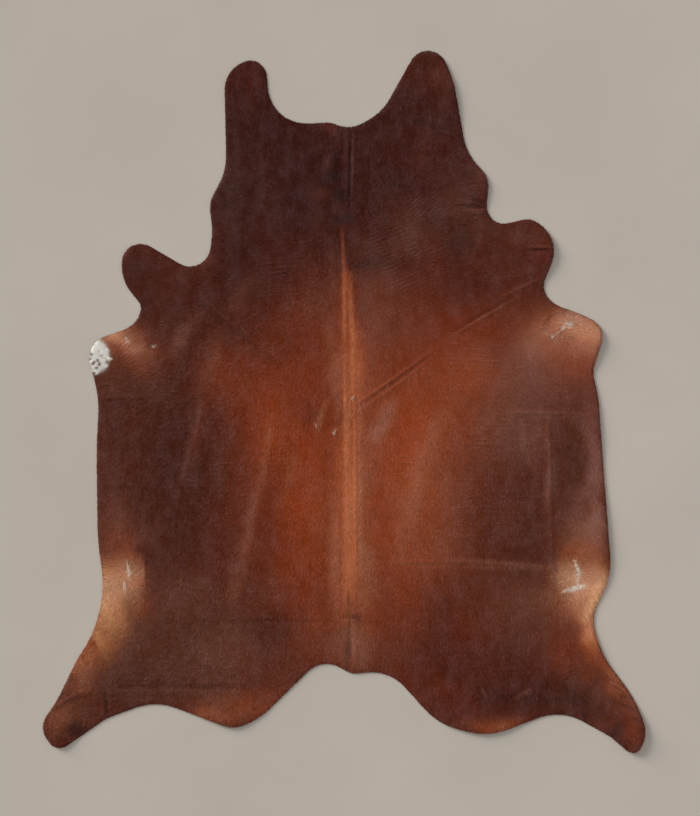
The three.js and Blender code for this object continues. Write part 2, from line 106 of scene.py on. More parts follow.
# Broad markings, laid one over the other in this order. Each is an ellipse with half sizes along and
# across. turn is in degrees, from the spine's way towards the right, and 0 where a row leaves it out.
# edge is 1 for a soft rim, as where a row leaves it out, and 2 for a firm one.
PATCH_COLUMNS = ("name", "x", "y", "along", "across", "tone", "strength", "turn", "edge")
# Rows in the sheen tones are painted sheen, and the pearl rows are pale hair with painted sheen on it.
PATCHES = [
    ("saddle", 0, -190, 640, 400, "chestnut", 0.72, 0, 1.2),
    ("shoulders", 0, 230, 260, 420, "chestnut", 0.3),
    ("saddle left of spine", -120, -315, 415, 100, "orange", 0.6),
    ("saddle left edge", -260, 5, 240, 130, "orange", 0.35),
    ("saddle right of spine", 170, -270, 420, 170, "rust", 0.75, 0, 1.2),
    ("saddle right front", 330, 25, 225, 150, "rust", 0.6, 20),
    ("right shoulder blade", 480, 230, 110, 260, "chestnut", 0.45),
    ("neck", 10, 760, 345, 520, "plum", 0.88, 0, 2.0),
    ("left cheek", -280, 980, 160, 120, "plum", 0.5),
    ("right neck, warmer", 300, 640, 240, 190, "wine", 0.65, -15),
    ("left neck base", -330, 460, 145, 160, "wine", 0.75),
    ("left neck edge, grey", -370, 695, 145, 50, "slate", 0.65, 0, 1.2),
    ("right neck edge, grey", 380, 710, 110, 70, "slate", 0.5, -10),
    ("right throat bloom", 340, 545, 45, 160, "bloom", 0.13, -15),
    ("right of neck root bloom", 195, 565, 110, 50, "bloom", 0.1, -40),
    ("behind the neck right", 130, 430, 110, 85, "bloom", 0.08),
    ("left foreleg", -560, 400, 170, 190, "wine", 0.5, 30),
    ("left side", -560, -260, 460, 150, "umber", 0.7, 0, 1.3),
    ("left edge", -760, -250, 380, 60, "dusk", 0.5),
    ("right side", 700, -270, 330, 120, "dusk", 0.75, 0, 1.3),
    ("right side inner", 610, -420, 250, 110, "umber", 0.6),
    ("right belly dark strip", 735, -170, 130, 35, "olive", 0.75, -3, 1.3),
    ("right belly bloom", 805, -280, 210, 29, "bloom", 0.24, 0, 1.2),
    ("right belly bloom, back", 780, -425, 70, 60, "bloom", 0.27),
    ("right ribs bloom", 565, 5, 145, 135, "bloom", 0.15),
    ("right ribs bloom, front", 515, 95, 65, 160, "bloom", 0.1, 10),
    ("right loin dark", 540, -860, 190, 260, "umber", 0.5, -60, 1.2),
    ("right loin darker", 560, -900, 120, 200, "wine", 0.5, -70, 1.2),
    ("right rump red", 395, -725, 110, 85, "chestnut", 0.5),
    ("left ribs orange", -390, 85, 95, 70, "orange", 0.3),
    ("saddle left orange", -225, -100, 130, 70, "orange", 0.4),
    ("right shoulder orange", 415, 135, 90, 70, "rust", 0.35),
    ("saddle right, brown", 220, -80, 95, 60, "orange", 0.35),
    ("right ribs bloom, low", 500, -80, 70, 95, "bloom", 0.1),
    ("right loin, front", 330, -655, 70, 85, "umber", 0.35),
    ("left shoulder dark", -325, 230, 70, 110, "umber", 0.35),
    ("right shoulder red", 340, 425, 90, 95, "chestnut", 0.3),
    ("left loin", -500, -800, 170, 330, "dusk", 0.4, 0, 1.2),
    ("left rump strip", -460, -902, 22, 225, "umber", 0.45),
    ("left rump low", -365, -955, 45, 130, "fawn", 0.25),
    ("left rump slate", -635, -890, 65, 135, "slate", 0.45, 0, 1.1),
    ("rump edge left", -445, -1005, 32, 110, "fawn", 0.65, -5),
    ("rump edge right", 474, -1036, 26, 95, "ginger", 0.55),
    ("left armpit pink", -675, 175, 95, 65, "fawn", 0.42, -50),
    ("left armpit front edge", -710, 205, 19, 85, "fawn", 0.55, 65),
    ("left girth", -755, 70, 75, 70, "fawn", 0.2),
    ("right armpit pink", 725, 200, 85, 130, "fawn", 0.8),
    ("right armpit light", 735, 235, 29, 95, "tan", 0.6, 12),
    ("right armpit tip", 805, 215, 45, 32, "tan", 0.35),
    ("left flank fawn", -730, -620, 135, 75, "tan", 0.68, -18, 1.3),
    ("left flank cream", -770, -635, 110, 35, "cream", 0.8, -14, 1.2),
    ("left flank whorl light", -694, -537, 26, 22, "cream", 0.4),
    ("left shin orange", -800, -785, 135, 50, "ginger", 0.8, -26, 1.2),
    ("left thigh orange", -755, -765, 90, 40, "ginger", 0.4, -20),
    ("right flank fawn", 760, -595, 100, 95, "tan", 0.7, 15, 1.3),
    ("right flank red", 755, -485, 60, 70, "ginger", 0.5),
    ("right flank cream", 820, -595, 65, 29, "cream", 0.7, 10, 1.2),
    ("right flank whorl light", 735, -555, 45, 32, "cream", 0.45),
    ("right thigh edge", 800, -755, 160, 35, "ginger", 0.8, 15, 1.2),
    ("right shin orange", 860, -920, 110, 50, "ginger", 0.3, 25, 1.2),
    ("left leg end dark", -857, -1046, 22, 50, "soot", 0.6, 30, 1.2),
    ("right leg end dark", 858, -1059, 19, 50, "soot", 0.55, -35, 1.2),
    ("right hock dark", 790, -980, 32, 110, "umber", 0.5, -20),
    ("left hock dark", -725, -970, 38, 110, "umber", 0.45, 15),
    ("head left, dark", -316, 935, 144, 90, "soot", 0.3, 0, 1.2),
    ("left neck, dark", -332, 631, 160, 83, "soot", 0.3, 0, 1.2),
    ("left neck base, dark", -345, 429, 102, 90, "soot", 0.25, 0, 1.2),
    ("left of the crest, dark", -188, 647, 224, 64, "soot", 0.2),
    ("right of the spine top", 96, 471, 70, 54, "slate", 0.45, 0, 1.2),
    ("right of the crest, dark", 167, 695, 38, 45, "soot", 0.3),
    ("right shoulder front, dark", 356, 503, 90, 51, "soot", 0.35, 0, 1.2),
    ("right shoulder, dark", 391, 365, 64, 96, "soot", 0.25),
    ("right throat lilac", 324, 631, 42, 115, "lilac", 0.12, -25),
    ("right foreleg root lilac", 525, 535, 38, 45, "lilac", 0.13),
    ("right foreleg end", 621, 449, 64, 45, "wine", 0.5),
    ("left foreleg, dark", -652, 375, 102, 83, "soot", 0.2, 0, 1.2),
    ("left shoulder, dark", -444, 289, 90, 112, "soot", 0.2, 0, 1.2),
    ("left shoulder front, dark", -268, 327, 70, 54, "soot", 0.22),
    ("left of the spine top, dark", -185, 397, 45, 45, "soot", 0.22),
    ("right of the spine lilac", 84, 231, 186, 45, "lilac", 0.21),
    ("left of the spine glow", -25, 119, 90, 26, "copper", 0.3),
    ("left of the withers lilac", -102, 295, 48, 38, "lilac", 0.09),
    ("right withers, dark", 167, 257, 64, 38, "slate", 0.15),
    ("left armpit glow", -710, 205, 35, 54, "fawn", 0.4),
    ("left armpit warm", -620, 141, 48, 90, "bloom", 0.08),
    ("right armpit bloom", 615, 177, 70, 64, "bloom", 0.27),
    ("right armpit warm", 736, 116, 83, 90, "rust", 0.4),
    ("right saddle bloom", 314, -329, 208, 83, "bloom", 0.18),
    ("tail bloom", 36, -777, 80, 70, "bloom", 0.34),
    ("right rump dark", 340, -825, 115, 128, "soot", 0.3, 0, 1.3),
    ("right loin bloom", 557, -659, 109, 90, "bloom", 0.19),
    ("right thigh warm", 711, -761, 109, 51, "rust", 0.35),
    ("right thigh edge glow", 794, -751, 45, 26, "tan", 0.5),
    ("right shank brown", 762, -937, 77, 70, "slate", 0.35),
    ("right shank edge glow", 880, -899, 58, 29, "tan", 0.15, 25),
    ("left rump dark", -243, -723, 70, 77, "soot", 0.28, 0, 1.2),
    ("left rump lilac", -422, -819, 70, 112, "lilac", 0.13),
    ("left rump edge amber", -275, -969, 58, 96, "amber", 0.25),
    ("left shank edge tan", -851, -838, 83, 26, "tan", 0.45, -30),
    ("left leg end glow", -902, -991, 51, 38, "fawn", 0.4),
    ("left shank brown", -716, -870, 83, 58, "slate", 0.5),
    ("left flank light", -736, -633, 96, 48, "cream", 0.45),
    ("left belly warm", -723, -425, 51, 51, "rust", 0.35),
    ("left loin bloom", -544, -607, 77, 58, "bloom", 0.18),
    ("left edge dark", -742, -73, 160, 45, "soot", 0.2),
    ("left ribs dark", -492, -153, 224, 128, "soot", 0.15, 0, 1.2),
    ("left saddle front, dark", -192, 161, 45, 58, "umber", 0.2),
    ("left saddle, dark", -96, -41, 51, 32, "umber", 0.25),
    ("right edge lilac", 804, -137, 160, 29, "lilac", 0.14, 0, 1.2),
    ("right panel dark", 692, -185, 160, 48, "umber", 0.35, 0, 1.3),
    ("right ribs bloom, inner", 436, -121, 160, 51, "bloom", 0.08),
    ("right ribs lilac", 532, -169, 160, 45, "lilac", 0.09),
    ("right flank top bloom", 730, -415, 51, 51, "bloom", 0.21),
    ("left saddle bloom", -83, -319, 112, 38, "bloom", 0.09),
    ("left flank edge cream", -800, -723, 90, 26, "cream", 0.5, -27),
    ("left flank shadow", -668, -710, 77, 22, "slate", 0.5, -22),
    ("left loin olive", -492, -761, 166, 230, "moss", 0.4, 0, 1.2),
    ("right rump red", 346, -863, 77, 141, "chestnut", 0.18),
    ("right shank dark", 692, -947, 64, 154, "soot", 0.24, 0, 1.2),
    ("right neck lilac", 237, 589, 64, 48, "lilac", 0.1, -30),
    ("left of the crest, darker", -128, 621, 64, 29, "soot", 0.2),
    ("poll warm", -35, 881, 26, 29, "chestnut", 0.4),
    ("crest blotch 1", -32, 721, 22, 26, "soot", 0.4, 0, 1.2),
    ("crest blotch 2", -16, 641, 19, 19, "soot", 0.5, 0, 1.2),
    ("crest blotch 3", -22, 785, 16, 22, "soot", 0.35, 0, 1.2),
    ("right of the spine top, dark", 58, 442, 19, 38, "soot", 0.35, 0, 1.2),
    ("right of the spine top, shade", 116, 449, 38, 83, "soot", 0.22),
    ("right head flap tip", 269, 1089, 32, 64, "soot", 0.25),
    ("right of the spine bloom, rear", 77, -265, 198, 29, "bloom", 0.18),
    ("tail warm", 71, -671, 96, 38, "rust", 0.35),
    ("right saddle orange", 256, -287, 147, 51, "orange", 0.3),
    ("left foreleg root, dark", -630, 301, 32, 38, "soot", 0.2),
    ("left armpit pale", -732, 212, 29, 32, "cream", 0.3),
    ("right armpit glow", 660, 189, 51, 83, "fawn", 0.32),
    ("right girth lilac", 800, 173, 64, 32, "lilac", 0.15),
    ("right flank top warm", 708, -467, 45, 45, "rust", 0.3),
    ("right edge lilac, rear", 804, -377, 64, 26, "lilac", 0.09),
    ("right loin bloom, outer", 653, -633, 70, 45, "bloom", 0.12),
    ("left flank notch peach", -659, -537, 45, 29, "peach", 0.55, 0, 1.3),
    ("left shank edge pale", -832, -793, 58, 26, "tan", 0.4, -30),
    ("left shank grey", -729, -863, 58, 45, "slate", 0.25),
    ("small scar, left", -89, -70, 6, 10, "fawn", 0.5, 0, 1.2),
    ("right ribs violet", 644, 77, 109, 134, "violet", 0.11),
    ("right edge violet", 810, -121, 128, 38, "violet", 0.12),
    ("right edge violet, rear", 800, -415, 58, 32, "violet", 0.12),
    ("right withers smoke", 154, 276, 102, 122, "smoke", 0.13),
    ("right neck smoke", 301, 621, 45, 70, "smoke", 0.15, -20),
    ("left of the spine lilac, rear", -19, -521, 198, 26, "lilac", 0.16),
    ("left of the spine lilac, front", -19, 77, 77, 26, "lilac", 0.15),
    ("right of the spine lilac, middle", 80, -137, 109, 29, "lilac", 0.13),
    ("right loin bloom, front", 589, -601, 51, 109, "bloom", 0.1),
    ("left girth olive", -620, 23, 83, 77, "moss", 0.2),
    ("left belly bloom", -726, -364, 70, 48, "bloom", 0.15),
    ("left loin bloom, inner", -460, -588, 45, 48, "bloom", 0.12),
    ("left rump bloom", -339, -777, 96, 96, "bloom", 0.09),
    ("right rump brown", 314, -889, 58, 96, "chestnut", 0.12),
    ("right rump warm", 666, -787, 54, 70, "rust", 0.14),
    ("right throat bloom, edge", 429, 737, 51, 29, "bloom", 0.1),
    ("left flank peach", -700, -588, 70, 58, "peach", 0.5, 0, 1.2),
    ("left shank grey, low", -736, -879, 45, 45, "slate", 0.2),
    ("tail bloom, low", 4, -761, 51, 45, "bloom", 0.12),
    ("right flank pearl", 778, -575, 54, 45, "pearl", 0.4),
    ("right flank pink", 708, -575, 77, 29, "bloom", 0.3),
    ("right flank pearl, low", 772, -665, 45, 32, "peach", 0.6, 20),
    ("right flank dark strip", 663, -476, 64, 22, "umber", 0.4),
    ("right armpit pearl", 740, 253, 38, 80, "pearl", 0.42, 8),
    ("right armpit pearl, front", 730, 279, 19, 48, "pearl", 0.35, 10),
    ("right armpit pearl, low", 762, 199, 38, 70, "bloom", 0.2),
    ("left flank peach, front", -688, -511, 51, 29, "peach", 0.38),
    ("left flank pearl", -710, -582, 45, 32, "pearl", 0.2),
    ("left flank dark corner", -633, -639, 38, 29, "chestnut", 0.3),
    ("left flank tan, low", -729, -671, 45, 29, "tan", 0.22, -20),
    ("left flank tan, lowest", -768, -729, 35, 29, "tan", 0.2, -20),
    ("left flap red", -320, 977, 90, 48, "madder", 0.28),
    ("left jaw lilac", 442, 775, 45, 38, "bloom", 0.12),
    ("right neck dusk", 308, 596, 70, 58, "dusk", 0.3),
    ("right foreleg red", 628, 461, 48, 48, "madder", 0.25),
    ("left withers smoke", -102, 337, 70, 42, "smoke", 0.17),
    ("right withers smoke, inner", 80, 333, 64, 26, "smoke", 0.17),
    ("left armpit pale, low", -726, 218, 32, 32, "pearl", 0.18),
    ("left of the spine lilac, middle", -9, 7, 192, 26, "lilac", 0.13),
    ("right of the spine lilac, front", 77, 58, 51, 26, "lilac", 0.12),
    ("right withers smoke, low", 180, 218, 45, 58, "smoke", 0.12),
    ("right shoulder smoke", 500, 183, 51, 128, "smoke", 0.1),
    ("right ribs smoke", 564, -105, 109, 70, "smoke", 0.16),
    ("left saddle brown, inner", -140, -31, 45, 70, "moss", 0.12),
    ("left saddle bloom", -192, -185, 32, 32, "bloom", 0.08),
    ("right saddle bloom, rear", 167, -268, 45, 38, "bloom", 0.13),
    ("right loin bloom, rear", 346, -268, 38, 38, "bloom", 0.11),
    ("left of the spine bloom, rear", -19, -505, 198, 26, "bloom", 0.1),
    ("right of the spine bloom, rear", 77, -505, 115, 26, "bloom", 0.1),
    ("right loin bloom, middle", 295, -467, 70, 70, "bloom", 0.09),
    ("left belly bloom, rear", -633, -425, 38, 38, "bloom", 0.12),
    ("right rump bloom, edge", 596, -735, 83, 83, "bloom", 0.06),
    ("tail bloom, left", -83, -745, 45, 45, "bloom", 0.08),
    ("left shank lilac", -819, -831, 38, 32, "lilac", 0.15),
    ("right rump brown, low", 378, -911, 38, 83, "chestnut", 0.22),
    ("left shank slate, low", -736, -902, 29, 38, "slate", 0.25),
    ("right armpit pearl, tip", 788, 228, 42, 38, "pearl", 0.12),
    ("crest dark spot 1", -22, 737, 14, 16, "soot", 0.5, 20),
    ("crest dark spot 2", -1, 705, 13, 13, "soot", 0.45),
    ("crest dark spot 3", -6, 644, 16, 14, "soot", 0.5),
    ("crest lilac 1", -41, 775, 35, 16, "lilac", 0.16, 10),
    ("crest lilac 2", 0, 813, 51, 13, "lilac", 0.13),
    ("crest bloom", -70, 660, 16, 35, "bloom", 0.16, -10),
    ("cheek dark 1", 253, 900, 16, 29, "soot", 0.35),
    ("cheek dark 2", 346, 897, 13, 22, "soot", 0.3),
    ("right ribs red strip", 672, -383, 64, 16, "rust", 0.18),
    ("left rump dark blotch", -508, -742, 51, 29, "umber", 0.22, 15),
    ("left rump lilac", -438, -793, 32, 70, "lilac", 0.09, -5),
    ("left loin lilac", -550, -665, 29, 77, "lilac", 0.08),
    ("tail lilac", 45, -787, 58, 26, "lilac", 0.1),
    ("left flank pearl, low", -736, -614, 64, 29, "pearl", 0.24, -15),
    ("left leg end dun", -876, -991, 83, 77, "dun", 0.15),
    ("left shank edge fawn", -870, -895, 32, 29, "fawn", 0.25),
    ("right shank pink", 788, -764, 32, 29, "bloom", 0.12),
    ("right shank lilac spot", 845, -972, 26, 26, "lilac", 0.16),
    ("right neck slate", 295, 609, 42, 64, "slate", 0.2),
    ("left of the spine bloom, loin", -12, -457, 115, 26, "bloom", 0.1),
    ("left saddle bloom, rear", -281, -467, 58, 45, "copper", 0.12),
    ("right loin bloom, outer", 525, -377, 70, 45, "bloom", 0.08),
    ("left armpit pearl", -726, 215, 29, 38, "pearl", 0.16),
    ("left armpit pink, low", -652, 199, 38, 45, "bloom", 0.1),
    ("right rump chestnut, low", 340, -911, 38, 45, "chestnut", 0.25),
    ("left rump warm, low", -192, -908, 32, 51, "rust", 0.12),
    ("left shank edge glow, low", -832, -921, 29, 29, "fawn", 0.25),
    ("left leg end pale", -921, -1011, 45, 32, "fawn", 0.2),
    ("left leg end, brown", -854, -963, 29, 29, "dun", 0.12),
    ("left shank slate, upper", -758, -831, 58, 32, "slate", 0.3, -20),
    ("left shank dark, low", -710, -927, 38, 51, "soot", 0.14),
    ("left leg end blotch", -870, -1049, 32, 29, "soot", 0.3, 30),
    ("left flank light, low", -742, -684, 32, 29, "tan", 0.2),
    ("left shank slate, inner", -704, -780, 29, 26, "slate", 0.14),
    ("left shank moss", -492, -902, 38, 109, "moss", 0.18),
    ("right thigh edge tan", 788, -703, 29, 22, "tan", 0.35),
    ("right thigh dark", 701, -723, 32, 26, "umber", 0.25),
    ("right shank dark, upper", 775, -838, 38, 26, "umber", 0.3),
    ("right shank edge orange", 823, -838, 35, 22, "orange", 0.4),
    ("right shank edge fawn", 858, -899, 29, 26, "fawn", 0.35),
    ("right shank end orange", 903, -972, 51, 26, "orange", 0.2, -15),
    ("right leg end orange", 922, -1043, 58, 29, "orange", 0.22),
    ("right leg end dark, upper", 839, -991, 32, 32, "soot", 0.22),
    ("right leg end dark, low", 890, -1087, 19, 26, "soot", 0.35),
    ("right shank dark, low", 749, -921, 38, 38, "soot", 0.2),
    ("right loin dark, low", 442, -927, 45, 51, "soot", 0.28),
    ("right rump dark, low", 519, -927, 26, 38, "soot", 0.2),
    ("right rump edge ginger", 544, -1017, 19, 51, "ginger", 0.4),
    ("right rump edge ginger, inner", 442, -1049, 22, 29, "ginger", 0.4),
    ("right loin dark, inner", 442, -934, 32, 32, "soot", 0.12),
    ("left withers lilac", -44, 311, 70, 26, "lilac", 0.06),
    ("left armpit pearl, edge", -691, 215, 26, 38, "pearl", 0.16, -20),
    ("left armpit pearl, dimple", -646, 180, 26, 26, "pearl", 0.16),
    ("left armpit, beside the patch", -736, 157, 26, 19, "fawn", 0.4),
    ("left armpit rust", -604, 177, 26, 29, "rust", 0.22),
    ("left girth rust", -633, 109, 38, 58, "rust", 0.15),
    ("left girth olive, low", -723, 33, 64, 58, "olive", 0.35),
    ("right armpit pearl, top", 743, 276, 32, 45, "pearl", 0.25),
    ("left girth edge", -787, 77, 26, 26, "umber", 0.3),
    ("right rump edge tan", 509, -1039, 19, 45, "tan", 0.25),
    ("right armpit pearl, inner", 666, 228, 38, 38, "pearl", 0.14),
    ("right belly lilac", 743, -339, 77, 32, "lilac", 0.12),
    ("right flank pearl, edge", 800, -569, 51, 51, "pearl", 0.2),
    ("right shank edge light", 852, -857, 32, 22, "tan", 0.3),
    ("left head flap red", -294, 1031, 90, 64, "madder", 0.22),
    ("right head flap red", 320, 1057, 58, 64, "madder", 0.24),
    ("right throat dark", 288, 583, 45, 51, "soot", 0.24),
    ("right rump red, low", 391, -963, 45, 58, "madder", 0.36),
    ("right rump plum", 356, -870, 51, 51, "plum", 0.4),
    ("left flank pearl, edge", -745, -598, 45, 26, "pearl", 0.15, -15),
    ("left ribs red, front", -470, -41, 70, 38, "madder", 0.24),
    ("right shoulder red, front", 378, 349, 38, 64, "madder", 0.28),
    ("right ribs violet, front", 602, 97, 83, 45, "violet", 0.12),
    ("right foreleg red, end", 631, 468, 29, 29, "madder", 0.28),
    ("left flank glow, front", -675, -463, 26, 32, "rust", 0.3),
    ("left saddle red", -137, -12, 70, 38, "madder", 0.13),
    ("right armpit violet", 746, 180, 32, 45, "violet", 0.12),
    ("tail left, warm", -70, -687, 29, 32, "copper", 0.2),
    ("left of the crest, outer", -147, 743, 109, 83, "soot", 0.12),
    ("right loin red", 356, -809, 128, 128, "madder", 0.12),
    ("right flank pearl, by the dash", 749, -607, 58, 35, "pearl", 0.3),
    ("right flank pearl, inner", 698, -550, 45, 26, "pearl", 0.18),
    ("right flank pearl, rim", 794, -723, 32, 26, "pearl", 0.35),
    ("left armpit pearl, low", -659, 180, 19, 35, "pearl", 0.28),
    ("left armpit pearl, tip", -736, 193, 22, 26, "pearl", 0.22),
    ("poll dark 1", -22, 791, 22, 19, "soot", 0.4),
    ("poll dark 2", -20, 735, 29, 29, "soot", 0.55),
    ("poll dark 3", -6, 650, 29, 26, "soot", 0.6),
    ("crest dark point", 7, 589, 16, 19, "soot", 0.55),
    ("crest left arm", -25, 580, 10, 29, "soot", 0.35),
    ("tail mark", 20, -684, 8, 29, "soot", 0.55, 0, 1.5),
    ("saddle scar", 23, 17, 16, 10, "cream", 0.55, 0, 1.2),
    ("small scar", -28, -89, 10, 19, "fawn", 0.5, -10),
]
